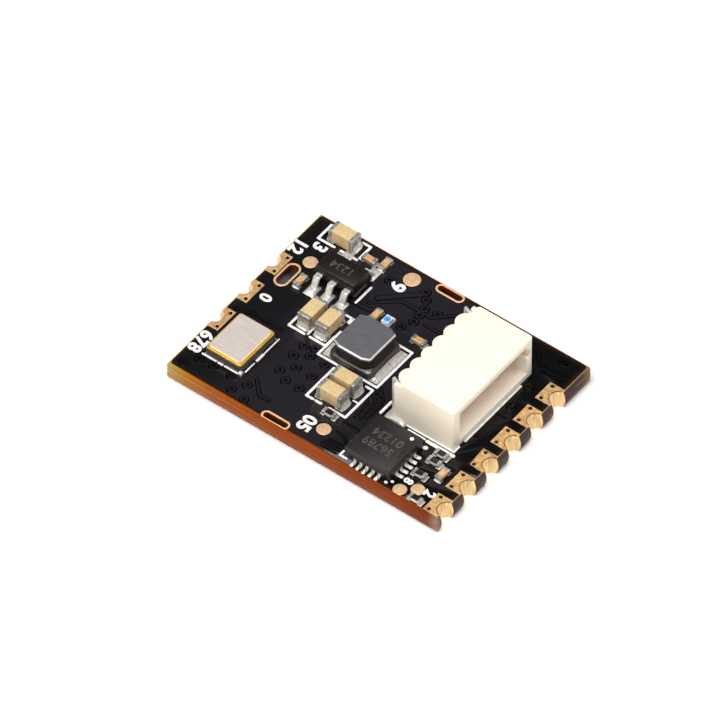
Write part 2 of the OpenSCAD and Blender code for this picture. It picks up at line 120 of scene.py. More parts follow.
def seat(bm, name, material, stands_for=(), smooth=40):
    """Turns a finished bmesh into a piece that rides on the board."""
    mesh = bpy.data.meshes.new(name)
    bm.to_mesh(mesh)
    bm.free()
    mesh.materials.append(material)
    mesh.set_sharp_from_angle(angle=radians(smooth))
    made = bpy.data.objects.new(name, mesh)
    bpy.context.scene.collection.objects.link(made)
    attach(made, "root")
    if stands_for:
        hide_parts(*stands_for)
    return made


def merge_into(bm, part):
    """Moves a finished part into the mesh of its piece."""
    scratch = bpy.data.meshes.new("part")
    part.to_mesh(scratch)
    part.free()
    bm.from_mesh(scratch)
    bpy.data.meshes.remove(scratch)


def shade_curved(bm):
    for face in bm.faces:
        face.smooth = True


def soft_copy(node, width, segments=2, sharper_than=28):
    """A merged copy of a CAD node whose sharp edges are rounded by a small bevel.

    Flat faces stay flat-shaded, so that only the rounded edges bend the light."""
    bm = bmesh.new()
    bm.from_mesh(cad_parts[node].data)
    bmesh.ops.remove_doubles(bm, verts=bm.verts, dist=0.009 * MM)
    bmesh.ops.dissolve_limit(bm, angle_limit=radians(0.5), verts=bm.verts, edges=bm.edges)
    sharp = [e for e in bm.edges
             if len(e.link_faces) == 2 and e.calc_face_angle(0) > radians(sharper_than)]
    for face in bm.faces:
        face.smooth = any(radians(1) < e.calc_face_angle(0) < radians(sharper_than) for e in face.edges)
    rounded = bmesh.ops.bevel(bm, geom=sharp, offset=width, offset_type="OFFSET", segments=segments,
                              profile=0.5, affect="EDGES", material=-1, clamp_overlap=True)
    for face in rounded["faces"]:
        face.smooth = True
    bm.normal_update()
    for face in bm.faces:
        if abs(face.normal.z) > 0.9999:
            face.smooth = False
    return bm


# Amber-brown epoxy: satin where the router cut it, and streaked along the glass cloth.
laminate, tree = new_material("Routed glass epoxy")
place = add(tree, "TexCoord").outputs["Object"]
spot = add(tree, "SeparateXYZ", links={0: place})
along = add(tree, "MapRange", {1: board_low.x, 2: board_high.x}, {0: spot.outputs["X"]})
near_side = add(tree, "ValToRGB", {"ramp": [
    (0.0, "#c2a964"), (0.03, "#b48a3c"), (0.08, "#ae6e10"), (0.19, "#a04e06"), (0.42, "#984606"),
    (0.7, "#8e3e08"), (0.96, "#803609"), (1.0, "#a8907a")]}, {0: along.outputs[0]})
facing = add(tree, "SeparateXYZ", links={0: add(tree, "NewGeometry").outputs["Normal"]})
end_face = add(tree, "MapRange", {1: 0.55, 2: 0.8},
               {0: add(tree, "Math", {"operation": "ABSOLUTE"}, {0: facing.outputs["X"]}).outputs[0]})
across = add(tree, "MapRange", {1: board_low.y, 2: board_high.y}, {0: spot.outputs["Y"]})
short_side = add(tree, "ValToRGB", {"ramp": [
    (0.0, "#a8927e"), (0.03, "#54423c"), (0.1, "#4a3a3a"), (0.94, "#4e3c36"), (0.97, "#7c5f3a"),
    (1.0, "#b39560")]},
    {0: across.outputs[0]})
far_face = add(tree, "MapRange", {1: 0.2, 2: 0.6}, {0: facing.outputs["Y"]})
long_side = add(tree, "Mix", {"data_type": "RGBA", 7: "#8f7434"},
                {0: far_face.outputs[0], 6: near_side.outputs[0]})
end_colour = add(tree, "Mix", {"data_type": "RGBA"},
                 {0: end_face.outputs[0], 6: long_side.outputs[2], 7: short_side.outputs[0]})
side_x = add(tree, "Math", {"operation": "ABSOLUTE"}, {0: spot.outputs["X"]})
side_y = add(tree, "Math", {"operation": "ABSOLUTE"}, {0: spot.outputs["Y"]})
inner_x = add(tree, "MapRange", {1: board_l / 2 - 0.2 * MM, 2: board_l / 2 - 0.3 * MM},
              {0: side_x.outputs[0]})
inner_y = add(tree, "MapRange", {1: board_w / 2 - 0.2 * MM, 2: board_w / 2 - 0.3 * MM},
              {0: side_y.outputs[0]})
inner = add(tree, "Math", {"operation": "MINIMUM"}, {0: inner_x.outputs[0], 1: inner_y.outputs[0]})
level = add(tree, "MapRange", {1: 0.8, 2: 0.95},
            {0: add(tree, "Math", {"operation": "ABSOLUTE"}, {0: facing.outputs["Z"]}).outputs[0]})
between = add(tree, "Math", {"operation": "MULTIPLY"}, {0: inner.outputs[0], 1: level.outputs[0]})
end_colour = add(tree, "Mix", {"data_type": "RGBA", 7: "#1c120d"},
                 {0: between.outputs[0], 6: end_colour.outputs[2]})
cloth = add(tree, "Mapping", {"Scale": (350, 350, 9000)}, {"Vector": place})
streaks = add(tree, "TexNoise", {"Scale": 1.0, "Detail": 4.0}, {"Vector": cloth.outputs[0]})
streak_shade = add(tree, "ValToRGB", {"ramp": [(0.3, "#b8b0a8"), (0.7, "#ffffff")]},
                   {0: streaks.outputs[0]})
body_colour = add(tree, "Mix", {"data_type": "RGBA", "blend_type": "MULTIPLY", 0: 0.55},
                  {6: end_colour.outputs[2], 7: streak_shade.outputs[0]})
bump = add(tree, "Bump", {"Strength": 0.5, "Distance": 0.006 * MM}, {"Height": streaks.outputs[0]})
shader = add(tree, "BsdfPrincipled", {"Roughness": 0.5, "Specular IOR Level": 0.12,
                                      "Subsurface Weight": 0.05, "Subsurface Scale": 0.3 * MM},
             {"Base Color": body_colour.outputs[2], "Normal": bump.outputs[0]})
add(tree, "OutputMaterial", links={0: shader.outputs[0]})

for layer in ("laminate_core", "upper_prepreg", "lower_prepreg"):
    seat(soft_copy(layer, 0.0005 * MM, 1), layer + "_cut", laminate, [layer])

# Inner copper foils, etched bright and seen only if the board is cut open.
copper, tree = new_material("Etched copper foil")
place = add(tree, "TexCoord").outputs["Object"]
grain = add(tree, "TexNoise", {"Scale": 6000.0, "Detail": 3.0}, {"Vector": place})
tone = add(tree, "ValToRGB", {"ramp": [(0.3, "#a8622f"), (0.7, "#c98a52")]}, {0: grain.outputs[0]})
shader = add(tree, "BsdfPrincipled", {"Metallic": 1.0, "Roughness": 0.4}, {"Base Color": tone.outputs[0]})
add(tree, "OutputMaterial", links={0: shader.outputs[0]})
for node in ("ground_plane", "supply_plane", "through_vias"):
    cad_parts[node].data.materials.clear()
    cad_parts[node].data.materials.append(copper)

# ---- Solder mask ---------------------------------------------------------------
# Black light-cured lacquer over both faces, semi-gloss. It lies over the copper tracks and
# fills the vias, so both show as low relief; where copper stops short of the edge it looks brown.

mask, tree = new_material("Black solder mask")
place = add(tree, "TexCoord").outputs["Object"]
spot = add(tree, "SeparateXYZ", links={0: place})
side_x = add(tree, "Math", {"operation": "ABSOLUTE"}, {0: spot.outputs["X"]})
side_y = add(tree, "Math", {"operation": "ABSOLUTE"}, {0: spot.outputs["Y"]})
from_x = add(tree, "MapRange", {1: board_l / 2 - 0.5 * MM, 2: board_l / 2 - 0.25 * MM},
             {0: side_x.outputs[0]})
from_y = add(tree, "MapRange", {1: board_w / 2 - 0.5 * MM, 2: board_w / 2 - 0.25 * MM},
             {0: side_y.outputs[0]})
rim = add(tree, "Math", {"operation": "MAXIMUM"}, {0: from_x.outputs[0], 1: from_y.outputs[0]})
# Painted lighter toward the left and middle, in place of a pale surface mirrored there
clouds = add(tree, "TexNoise", {"Scale": 500.0, "Detail": 3.0}, {"Vector": place})
drift = add(tree, "MapRange", {1: 0.3, 2: 0.7, 3: -0.03, 4: 0.03}, {0: clouds.outputs[0]})
along = add(tree, "MapRange", {1: -board_l / 2, 2: board_l / 2}, {0: spot.outputs["X"]})
painted_reflection = add(tree, "Math", {"operation": "ADD"}, {0: along.outputs[0], 1: drift.outputs[0]})
ink = add(tree, "ValToRGB", {"ramp": [
    (0.0, "#0c0b0e"), (0.14, "#111014"), (0.24, "#1e1b22"), (0.42, "#201d24"), (0.58, "#1e1b1f"),
    (0.68, "#120f11"), (0.8, "#060506"), (1.0, "#040304")]}, {0: painted_reflection.outputs[0]})
ink_rim = add(tree, "Mix", {"data_type": "RGBA", 7: "#20170c"}, {0: rim.outputs[0], 6: ink.outputs[0]})
# The slopes of the relief are painted blacker and duller than the flats, so that they read
tilt = add(tree, "SeparateXYZ", links={0: add(tree, "NewGeometry").outputs["True Normal"]})
slope = add(tree, "MapRange", {1: 0.999, 2: 0.985},
            {0: add(tree, "Math", {"operation": "ABSOLUTE"}, {0: tilt.outputs["Z"]}).outputs[0]})
ink_shaded = add(tree, "Mix", {"data_type": "RGBA", 7: "#030203"},
                 {0: slope.outputs[0], 6: ink_rim.outputs[2]})
sheen = add(tree, "MapRange", {1: 0.0, 2: 1.0, 3: 0.36, 4: 0.05}, {0: slope.outputs[0]})
peel = add(tree, "TexNoise", {"Scale": 5000.0, "Detail": 2.0}, {"Vector": place})
bump = add(tree, "Bump", {"Strength": 0.35, "Distance": 0.004 * MM}, {"Height": peel.outputs[0]})
shader = add(tree, "BsdfPrincipled", {"Roughness": 0.16, "IOR": 1.5},
             {"Base Color": ink_shaded.outputs[2], "Specular IOR Level": sheen.outputs[0],
              "Normal": bump.outputs[0]})
add(tree, "OutputMaterial", links={0: shader.outputs[0]})

for node in ("top_solder_mask", "bottom_solder_mask"):
    seat(soft_copy(node, 0.008 * MM, 1), node + "_coat", mask, [node])

# The mask stops a little short of the flat face's edge
MASK_GAP = 0.06 * MM
face_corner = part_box("top_solder_mask")[0] - Vector((MASK_GAP, MASK_GAP, 0))


def on_board(x, y, z=0.0):
    """A place in millimetres from the corner of the flat face, as a layout drawing gives it."""
    return Vector((face_corner.x + x * MM, face_corner.y + y * MM, TOP + z * MM))


def add_strip(bm, start, end, width, height, z=0.0, edge=0.0, slope=0.0):
    """A low strip with round ends between two places on the board; its sides may slope."""
    a, b = on_board(*start), on_board(*end)
    length = (b - a).length + width * MM
    turn = Matrix.Rotation(atan2(b.y - a.y, b.x - a.x), 4, "Z")
    centre = Matrix.Translation((a + b) / 2 + Vector((0, 0, (z + height / 2) * MM)))
    shape = Matrix.Diagonal((length, width * MM, height * MM, 1))
    part = bmesh.new()
    bmesh.ops.create_cube(part, size=1.0, matrix=shape)
    upright = [e for e in part.edges
               if abs(e.verts[0].co.z - e.verts[1].co.z) > height * MM / 2]
    bmesh.ops.bevel(part, geom=upright, offset=width * MM * 0.48, offset_type="OFFSET", segments=4,
                    profile=0.5, affect="EDGES", material=-1)
    for vert in part.verts:
        if slope and vert.co.z > 0:
            vert.co.x *= 1 - 2 * slope * MM / length
            vert.co.y *= 1 - 2 * slope / width
    bmesh.ops.transform(part, matrix=centre @ turn, verts=part.verts)
    if edge:
        crest = (a.z + (z + height) * MM) - 1e-7
        rims = [e for e in part.edges if min(v.co.z for v in e.verts) > crest]
        bmesh.ops.bevel(part, geom=rims, offset=edge * MM, offset_type="OFFSET", segments=2,
                        profile=0.5, affect="EDGES", material=-1)
    merge_into(bm, part)


def add_path(bm, places, width, height, edge=0.0, slope=0.0):
    """Strips from place to place. Each lies a hair above the last, so no two faces coincide."""
    for step, (start, end) in enumerate(zip(places, places[1:])):
        add_strip(bm, start, end, width, height, 0.0006 * step, edge, slope)


# Tracks under the mask: low ridges. Each is a path and its width, in millimetres.
TRACK_H = 0.022
TRACK_SLOPE = 0.06
TRACKS = [
    ([(6.2, 10.6), (6.9, 11.3), (8.0, 12.3)], 0.35),
    ([(6.0, 10.0), (7.4, 11.2), (9.4, 11.2), (10.4, 12.2)], 0.2),
    ([(9.4, 10.6), (10.4, 10.6), (11.0, 11.2)], 0.2),
    ([(9.6, 5.0), (10.4, 4.2), (10.4, 3.0)], 0.14),
    ([(10.0, 5.2), (10.7, 4.5), (10.7, 3.1)], 0.14),
    ([(10.3, 5.5), (11.0, 4.8), (11.0, 3.3)], 0.14),
    ([(10.2, 0.3), (11.2, 0.3)], 0.1),
    ([(10.1, 0.52), (11.2, 0.52)], 0.1),
    ([(10.2, 0.74), (11.3, 0.74)], 0.1),
    ([(10.3, 0.96), (11.3, 0.96)], 0.1),
    ([(10.3, 1.6), (10.8, 1.6), (11.2, 1.2)], 0.12),
    ([(10.2, 2.4), (11.2, 2.4)], 0.12),
    ([(5.2, 9.6), (6.3, 9.6), (6.7, 10.0)], 0.3),
    ([(4.6, 1.9), (5.4, 1.1), (6.0, 1.1)], 0.2),
    ([(0.5, 5.3), (1.4, 5.6), (3.4, 5.6)], 0.2),
    ([(16.4, 12.2), (17.7, 12.2)], 0.16),
    ([(16.4, 11.8), (17.7, 11.8)], 0.16),
    ([(16.3, 7.9), (16.9, 7.9)], 0.14),
    ([(16.3, 5.9), (16.9, 5.9)], 0.14),
    ([(12.2, 12.6), (15.6, 12.6), (16.2, 12.0)], 0.2),
]
bm = bmesh.new()
for path, width in TRACKS:
    add_path(bm, path, width + TRACK_SLOPE, TRACK_H, slope=TRACK_SLOPE)
seat(bm, "masked_tracks", mask)

# Filled vias: a low ring with a dimple where the mask sank into the hole.
VIA_OUTLINE = [(0.0, 0.004), (0.05, 0.006), (0.11, 0.026), (0.13, 0.03), (0.24, 0.03), (0.31, 0.0)]
bm = bmesh.new()
for low, high in solid_boxes("through_vias"):
    centre = Vector(((low.x + high.x) / 2, (low.y + high.y) / 2, TOP))
    part = bmesh.new()
    line = [part.verts.new((r * MM, 0, h * MM)) for r, h in VIA_OUTLINE]
    for first, second in zip(line, line[1:]):
        part.edges.new((first, second))
    bmesh.ops.spin(part, geom=part.verts[:] + part.edges[:], cent=(0, 0, 0), axis=(0, 0, 1),
                   angle=2 * pi, steps=20, use_merge=True)
    bmesh.ops.remove_doubles(part, verts=part.verts, dist=1e-8)
    open_rim = [e for e in part.edges if e.is_boundary]
    bmesh.ops.holes_fill(part, edges=open_rim, sides=0)
    bmesh.ops.recalc_face_normals(part, faces=part.faces)
    bmesh.ops.translate(part, verts=part.verts, vec=centre)
    shade_curved(part)
    merge_into(bm, part)
seat(bm, "masked_vias", mask, smooth=60)

# ---- Gold pads, half-holes and slots -------------------------------------------
# Copper under nickel and a thin coat of immersion gold: pale, satin and lightly mottled,
# on the pads of both faces and down the walls of the half-holes and slots.

gold, tree = new_material("Immersion gold")
place = add(tree, "TexCoord").outputs["Object"]
mottle = add(tree, "TexNoise", {"Scale": 5200.0, "Detail": 5.0, "Roughness": 0.65}, {"Vector": place})
tone = add(tree, "ValToRGB", {"ramp": [(0.28, "#c08f55"), (0.5, "#dfb47c"), (0.72, "#f3d6a4")]},
           {0: mottle.outputs[0]})
# Walls of the half-holes, which lie outside the places named here, are paler and ribbed by the
# drill; the walls of the tiny vias further in are painted dark brown, as painted shade down the deep holes
facing = add(tree, "SeparateXYZ", links={0: add(tree, "NewGeometry").outputs["Normal"]})
upright = add(tree, "MapRange", {1: 0.75, 2: 0.5},
              {0: add(tree, "Math", {"operation": "ABSOLUTE"}, {0: facing.outputs["Z"]}).outputs[0]})
spot = add(tree, "SeparateXYZ", links={0: place})
ribs = add(tree, "Mapping", {"Scale": (9000, 9000, 900)}, {"Vector": place})
ribbing = add(tree, "TexNoise", {"Scale": 1.0, "Detail": 3.0}, {"Vector": ribs.outputs[0]})
wall_tone = add(tree, "ValToRGB", {"ramp": [(0.3, "#dcb87c"), (0.6, "#f2d8a6")]}, {0: ribbing.outputs[0]})
RIGHT_HOLES_X, LEFT_HOLES_X, FADE = 8.64 * MM, -8.75 * MM, 0.02 * MM
right_wall = add(tree, "MapRange", {1: RIGHT_HOLES_X - FADE, 2: RIGHT_HOLES_X + FADE},
                 {0: spot.outputs["X"]})
left_wall = add(tree, "MapRange", {1: LEFT_HOLES_X + FADE, 2: LEFT_HOLES_X - FADE},
                {0: spot.outputs["X"]})
in_hole = add(tree, "Math", {"operation": "MAXIMUM"}, {0: right_wall.outputs[0], 1: left_wall.outputs[0]})
# The dark brown of the via walls is painted shade down the deep holes
hole_tone = add(tree, "Mix", {"data_type": "RGBA", 6: "#38180a"},
                {0: in_hole.outputs[0], 7: wall_tone.outputs[0]})
tone = add(tree, "Mix", {"data_type": "RGBA"},
           {0: upright.outputs[0], 6: tone.outputs[0], 7: hole_tone.outputs[2]})
grit = add(tree, "MapRange", {1: 0.3, 2: 0.7, 3: 0.36, 4: 0.5}, {0: mottle.outputs[0]})
bump = add(tree, "Bump", {"Strength": 0.4, "Distance": 0.008 * MM}, {"Height": mottle.outputs[0]})
shader = add(tree, "BsdfPrincipled", {"Metallic": 0.45},
             {"Base Color": tone.outputs[2], "Roughness": grit.outputs[0], "Normal": bump.outputs[0]})
add(tree, "OutputMaterial", links={0: shader.outputs[0]})

for node in ("right_edge_pads", "left_edge_pads"):
    seat(soft_copy(node, 0.008 * MM, 2), node + "_gilt", gold, [node])

# On the right edge a raised lip of darker brown gold runs round the top of each half-hole, and a
# near-black disc over each of the two tiny vias by it is painted shade down the hole
# Material of the near-black discs over the pad vias: painted shade down the holes
painted_via_shade, tree = new_material("Painted shade in the pad vias")
place = add(tree, "TexCoord").outputs["Object"]
shade_mottle = add(tree, "TexNoise", {"Scale": 9000.0, "Detail": 2.0}, {"Vector": place})
tone = add(tree, "ValToRGB", {"ramp": [(0.3, "#1c0d06"), (0.7, "#3a1c0c")]}, {0: shade_mottle.outputs[0]})
shader = add(tree, "BsdfPrincipled", {"Roughness": 0.3}, {"Base Color": tone.outputs[0]})
add(tree, "OutputMaterial", links={0: shader.outputs[0]})
HALF_HOLE_R = 0.5 * MM
HALF_HOLE_X = board_high.x - 0.09 * MM
VIA_X = board_high.x - 0.86 * MM
VIA_Y = 0.52 * MM
VIA_SPOT_R = 0.12 * MM
LIP_START, LIP_SWEEP, LIP_BEADS = 104, 152, 13
LIP_BEAD = Matrix.Diagonal((0.05 * MM, 0.13 * MM, 0.02 * MM, 1))
lips, shade_discs = bmesh.new(), bmesh.new()
for low, high in solid_boxes("right_edge_pads"):
    middle = (low.y + high.y) / 2
    if high.z < TOP - 0.1 * MM:
        continue
    hole = Vector((HALF_HOLE_X, middle, TOP - 0.006 * MM))
    for step in range(LIP_BEADS):
        turn = radians(LIP_START + LIP_SWEEP * (step + 0.5) / LIP_BEADS)
        on_rim = hole + Vector((cos(turn), sin(turn), 0)) * (HALF_HOLE_R + 0.015 * MM)
        bead = Matrix.Translation(on_rim) @ Matrix.Rotation(turn, 4, "Z") @ LIP_BEAD
        bmesh.ops.create_cube(lips, size=1.0, matrix=bead)
    for side in (-1, 1):
        over_via = Matrix.Translation((VIA_X, middle + side * VIA_Y, TOP + 0.001 * MM))
        bmesh.ops.create_circle(shade_discs, cap_ends=True, segments=20, radius=VIA_SPOT_R, matrix=over_via)
seat(shade_discs, "pad_via_painted_shade", painted_via_shade)

lip_tone, tree = new_material("Darker brown gold lip")
place = add(tree, "TexCoord").outputs["Object"]
lip_mottle = add(tree, "TexNoise", {"Scale": 6000.0, "Detail": 3.0}, {"Vector": place})
tone = add(tree, "ValToRGB", {"ramp": [(0.3, "#4e2c14"), (0.7, "#b98a58")]}, {0: lip_mottle.outputs[0]})
shader = add(tree, "BsdfPrincipled", {"Metallic": 0.4, "Roughness": 0.3}, {"Base Color": tone.outputs[0]})
add(tree, "OutputMaterial", links={0: shader.outputs[0]})
seat(lips, "half_hole_lips", lip_tone)

# The round pads are cleaner. The slots' rims are pale pink-gold, painted paler still as a painted
# highlight on their edges; their walls are painted darker with depth, to red-brown, as painted shade down
# the slots
for node, dull, clear, deep in (("test_pads", "#dcae7c", "#f6d6ae", "#c08f55"),
                                ("slot_platings", "#eab07a", "#ffdcb0", "#2c0f07")):
    plated, tree = new_material("Immersion gold of the " + node.replace("_", " "))
    place = add(tree, "TexCoord").outputs["Object"]
    mottle = add(tree, "TexNoise", {"Scale": 5200.0, "Detail": 5.0, "Roughness": 0.65}, {"Vector": place})
    tone = add(tree, "ValToRGB", {"ramp": [(0.28, dull), (0.7, clear)]}, {0: mottle.outputs[0]})
    spot = add(tree, "SeparateXYZ", links={0: place})
    # Walls are painted darker below the rim, in the slots down to red-brown: painted shade in the holes
    depth = add(tree, "MapRange", {1: TOP, 2: TOP - 0.7 * MM}, {0: spot.outputs["Z"]})
    wall = add(tree, "ValToRGB", {"ramp": [(0.0, "#b4642c"), (0.12, "#6e2f14"), (1.0, deep)]},
               {0: depth.outputs[0]})
    facing = add(tree, "SeparateXYZ", links={0: add(tree, "NewGeometry").outputs["Normal"]})
    upright = add(tree, "MapRange", {1: 0.6, 2: 0.3},
                  {0: add(tree, "Math", {"operation": "ABSOLUTE"}, {0: facing.outputs["Z"]}).outputs[0]})
    tone = add(tree, "Mix", {"data_type": "RGBA"},
               {0: upright.outputs[0], 6: tone.outputs[0], 7: wall.outputs[0]})
    bump = add(tree, "Bump", {"Strength": 0.3, "Distance": 0.006 * MM}, {"Height": mottle.outputs[0]})
    shader = add(tree, "BsdfPrincipled", {"Metallic": 0.35, "Roughness": 0.34},
                 {"Base Color": tone.outputs[2], "Normal": bump.outputs[0]})
    add(tree, "OutputMaterial", links={0: shader.outputs[0]})
    seat(soft_copy(node, 0.02 * MM, 2), node + "_gilt", plated, [node])

# ---- White print ---------------------------------------------------------------
# White ink screened on the mask: outlines round the parts and plain numbers by the pads.
# It is about 0.15 mm wide, a little raised, and its edges are soft.

print_ink, tree = new_material("Screen-printed white ink")
place = add(tree, "TexCoord").outputs["Object"]
thin = add(tree, "TexNoise", {"Scale": 4200.0, "Detail": 4.0}, {"Vector": place})
tone = add(tree, "ValToRGB", {"ramp": [(0.3, "#dcdad6"), (0.6, "#f7f6f4")]}, {0: thin.outputs[0]})
bump = add(tree, "Bump", {"Strength": 0.3, "Distance": 0.004 * MM}, {"Height": thin.outputs[0]})
shader = add(tree, "BsdfPrincipled", {"Roughness": 0.55}, {"Base Color": tone.outputs[0],
                                                            "Normal": bump.outputs[0]})
add(tree, "OutputMaterial", links={0: shader.outputs[0]})

PRINT_H = 0.03
LINE = 0.15
bm = bmesh.new()
# Paths in millimetres from the board's corner, with their widths
OUTLINES = [
    # large capacitor by the far edge
    ([(0.95, 13.3), (0.95, 12.1), (2.05, 12.1)], LINE), ([(2.5, 12.1), (3.6, 12.1)], LINE),
    ([(3.65, 12.3), (3.65, 13.3), (3.1, 13.3)], LINE),
    # the pair of large capacitors by the inductor
    ([(3.55, 8.3), (3.55, 6.1), (4.6, 6.1)], LINE), ([(4.78, 6.2), (4.78, 6.85)], 0.1),
    ([(5.0, 6.1), (6.05, 6.1), (6.05, 6.9)], LINE), ([(5.6, 8.55), (6.0, 8.55), (6.0, 8.2)], LINE),
    # inductor
    ([(6.08, 7.4), (6.08, 5.4), (10.1, 5.4), (10.1, 8.55), (8.6, 8.55)], LINE),
    ([(6.08, 8.2), (6.08, 8.55), (7.0, 8.55)], LINE),
    # the pair of large capacitors by the near edge
    ([(7.85, 2.65), (7.4, 2.65), (7.4, 5.1), (8.0, 5.1)], LINE), ([(8.05, 2.65), (8.4, 2.65)], LINE),
    ([(8.95, 2.65), (10.05, 2.65), (10.05, 5.1), (9.6, 5.1)], LINE),
    ([(9.65, 3.88), (10.0, 3.88)], 0.1),
    # regulator
    ([(5.45, 9.6), (5.45, 10.95)], LINE), ([(3.1, 11.45), (4.5, 11.45)], 0.12),
    # chip
    ([(11.45, 0.7), (11.45, 0.35), (11.9, 0.35)], 0.13),
    # socket
    ([(11.35, 4.1), (11.35, 5.05)], 0.16), ([(13.05, 4.24), (16.2, 4.24), (16.2, 4.7)], 0.13),
    ([(13.3, 4.02), (14.4, 4.02)], 0.12), ([(14.6, 3.98), (16.35, 3.98)], 0.22),
    ([(16.22, 5.25), (16.22, 10.2)], 0.13),
    ([(11.3, 11.0), (11.3, 11.55), (11.5, 11.7)], LINE),
    # crystal
    ([(1.1, 1.62), (2.02, 1.62)], 0.11), ([(2.2, 1.62), (2.45, 1.62)], 0.14),
    ([(2.62, 1.62), (3.5, 1.62)], 0.1), ([(3.76, 1.95), (3.76, 2.75)], 0.08),
    ([(3.76, 3.0), (3.76, 3.55)], 0.16), ([(3.76, 3.6), (3.76, 4.95)], 0.08),
]
for path, width in OUTLINES:
    add_path(bm, path, width, PRINT_H, edge=0.006)
# Round dots that mark first contacts
for x, y, width in ((14.8, 3.55, 0.26), (14.85, 0.55, 0.16), (14.6, 0.3, 0.16)):
    add_strip(bm, (x - 0.02, y), (x + 0.02, y), width, PRINT_H, edge=0.006)


def add_number(bm, words, centre, size, turn, height, z=0.0, weight=0.035):
    """Plain figures, made a mesh and laid flat on a face. Sizes in millimetres."""
    curve = bpy.data.curves.new("figures", "FONT")
    curve.body = words
    curve.size = size
    curve.align_x = "CENTER"
    curve.align_y = "CENTER"
    curve.offset = weight * size
    curve.extrude = height / 2
    curve.resolution_u = 3
    holder = bpy.data.objects.new("figures", curve)
    bpy.context.scene.collection.objects.link(holder)
    bpy.context.view_layer.update()
    flat = bpy.data.meshes.new_from_object(holder.evaluated_get(bpy.context.evaluated_depsgraph_get()))
    middle = on_board(*centre, z + height / 2)
    flat.transform(Matrix.Translation(middle) @ Matrix.Rotation(radians(turn), 4, "Z")
                   @ Matrix.Diagonal((MM, MM, MM, 1)))
    bm.from_mesh(flat)
    bpy.data.objects.remove(holder)
    bpy.data.curves.remove(curve)
    bpy.data.meshes.remove(flat)


# Plain numbers in place of the words: text, place, height of the figures and direction
NUMBERS = [("12", (0.45, 10.95), 1.1), ("3", (1.4, 11.6), 1.15), ("0", (1.3, 6.9), 1.0),
           ("678", (0.45, 2.25), 1.1), ("9", (6.5, 11.9), 1.25), ("05", (8.6, 1.05), 1.15),
           ("8", (15.5, 1.1), 0.75), ("2", (16.95, 1.05), 0.9)]
for words, centre, size in NUMBERS:
    add_number(bm, words, centre, size, -90, PRINT_H)
seat(bm, "white_print", print_ink)

# ---- Solder --------------------------------------------------------------------
# Tin-silver-copper paste, reflowed: it covers the lands as low domes and climbs the metal ends
# of the parts in hollow fillets. Bright but slightly frosted, with ripples.

solder, tree = new_material("Reflowed solder")
place = add(tree, "TexCoord").outputs["Object"]
frost = add(tree, "TexNoise", {"Scale": 6500.0, "Detail": 5.0, "Roughness": 0.6}, {"Vector": place})
tone = add(tree, "ValToRGB", {"ramp": [(0.3, "#c4bfb8"), (0.55, "#e6e2dc"), (0.75, "#fbf8f4")]},
           {0: frost.outputs[0]})
gloss = add(tree, "MapRange", {1: 0.3, 2: 0.7, 3: 0.26, 4: 0.44}, {0: frost.outputs[0]})
bump = add(tree, "Bump", {"Strength": 0.6, "Distance": 0.012 * MM}, {"Height": frost.outputs[0]})
shader = add(tree, "BsdfPrincipled", {"Metallic": 0.55},
             {"Base Color": tone.outputs[0], "Roughness": gloss.outputs[0], "Normal": bump.outputs[0]})
add(tree, "OutputMaterial", links={0: shader.outputs[0]})


def ripple(point, size, seed):
    """A small steady unevenness for a place, between -1 and 1."""
    return noise.noise(Vector(point) / size + Vector((seed, seed * 0.37, seed * 0.71)))


def add_lump(bm, matrix, reshape, cuts=6):
    """Adds a closed lump: a finely cut cube whose corners run 0..1 in X and Z and -1..1 in Y."""
    part = bmesh.new()
    bmesh.ops.create_cube(part, size=1.0)
    bmesh.ops.subdivide_edges(part, edges=part.edges[:], cuts=cuts, use_grid_fill=True)
    for vert in part.verts:
        vert.co = reshape(vert.co.x + 0.5, 2 * vert.co.y, vert.co.z + 0.5)
    bmesh.ops.transform(part, matrix=matrix, verts=part.verts)
    bmesh.ops.recalc_face_normals(part, faces=part.faces)
    shade_curved(part)
    merge_into(bm, part)


def fillet_shape(reach, width, height, seed):
    """Hollow fillet that falls away from a metal end: reach outwards, width across, height up."""
    def reshape(out, side, up):
        crest = height * ((1 - out) ** 2.0 * (1 - 0.25 * side ** 4) + 0.07)
        crest *= 1 + 0.12 * ripple((out * 3, side * 2, 0), 1, seed)
        half = width / 2 * (1 - 0.12 * (1 - out)) * (1 - 0.25 * out ** 4)
        return Vector((out * reach * (1 - 0.16 * side ** 4), side * half * (1 - 0.08 * up), up * crest))
    return reshape


def dome_shape(length, width, height, seed):
    """Low dome of solder over a land."""
    def reshape(out, side, up):
        u = 2 * out - 1
        rise = (1 - u ** 6) * (1 - side ** 6) * (1 + 0.25 * ripple((u * 2, side * 2, 0), 1, seed))
        return Vector((u * length / 2, side * width / 2, up * height * (0.15 + 0.85 * rise)))
    return reshape


def teardrop_shape(reach, width, height, seed):
    """Drop of solder that is a thin neck at the part and a round pool at the far end of its land."""
    def reshape(out, side, up):
        half = width / 2 * (0.12 + 0.88 * out) * (1 - 0.5 * max(0.0, out - 0.85) / 0.15)
        crest = height * (0.35 + 0.65 * sin(pi * out ** 0.7)) * (1 - 0.6 * side ** 4)
        crest *= 1 + 0.2 * ripple((out * 3, side * 2, 0), 1, seed)
        return Vector((out * reach, side * half, up * crest))
    return reshape


bm = bmesh.new()
for index, (low, high) in enumerate(solid_boxes("component_lands")):
    size = high - low
    middle = Vector(((low.x + high.x) / 2, (low.y + high.y) / 2, TOP))
    if max(size.x, size.y) > 2.9 * MM:
        continue
    add_lump(bm, Matrix.Translation(middle), dome_shape(size.x, size.y, 0.035 * MM, index * 1.7), 4)
seat(bm, "land_solder", solder)
seat(soft_copy("component_lands", 0.006 * MM, 1), "component_lands_tinned", solder,
     ["component_lands"])


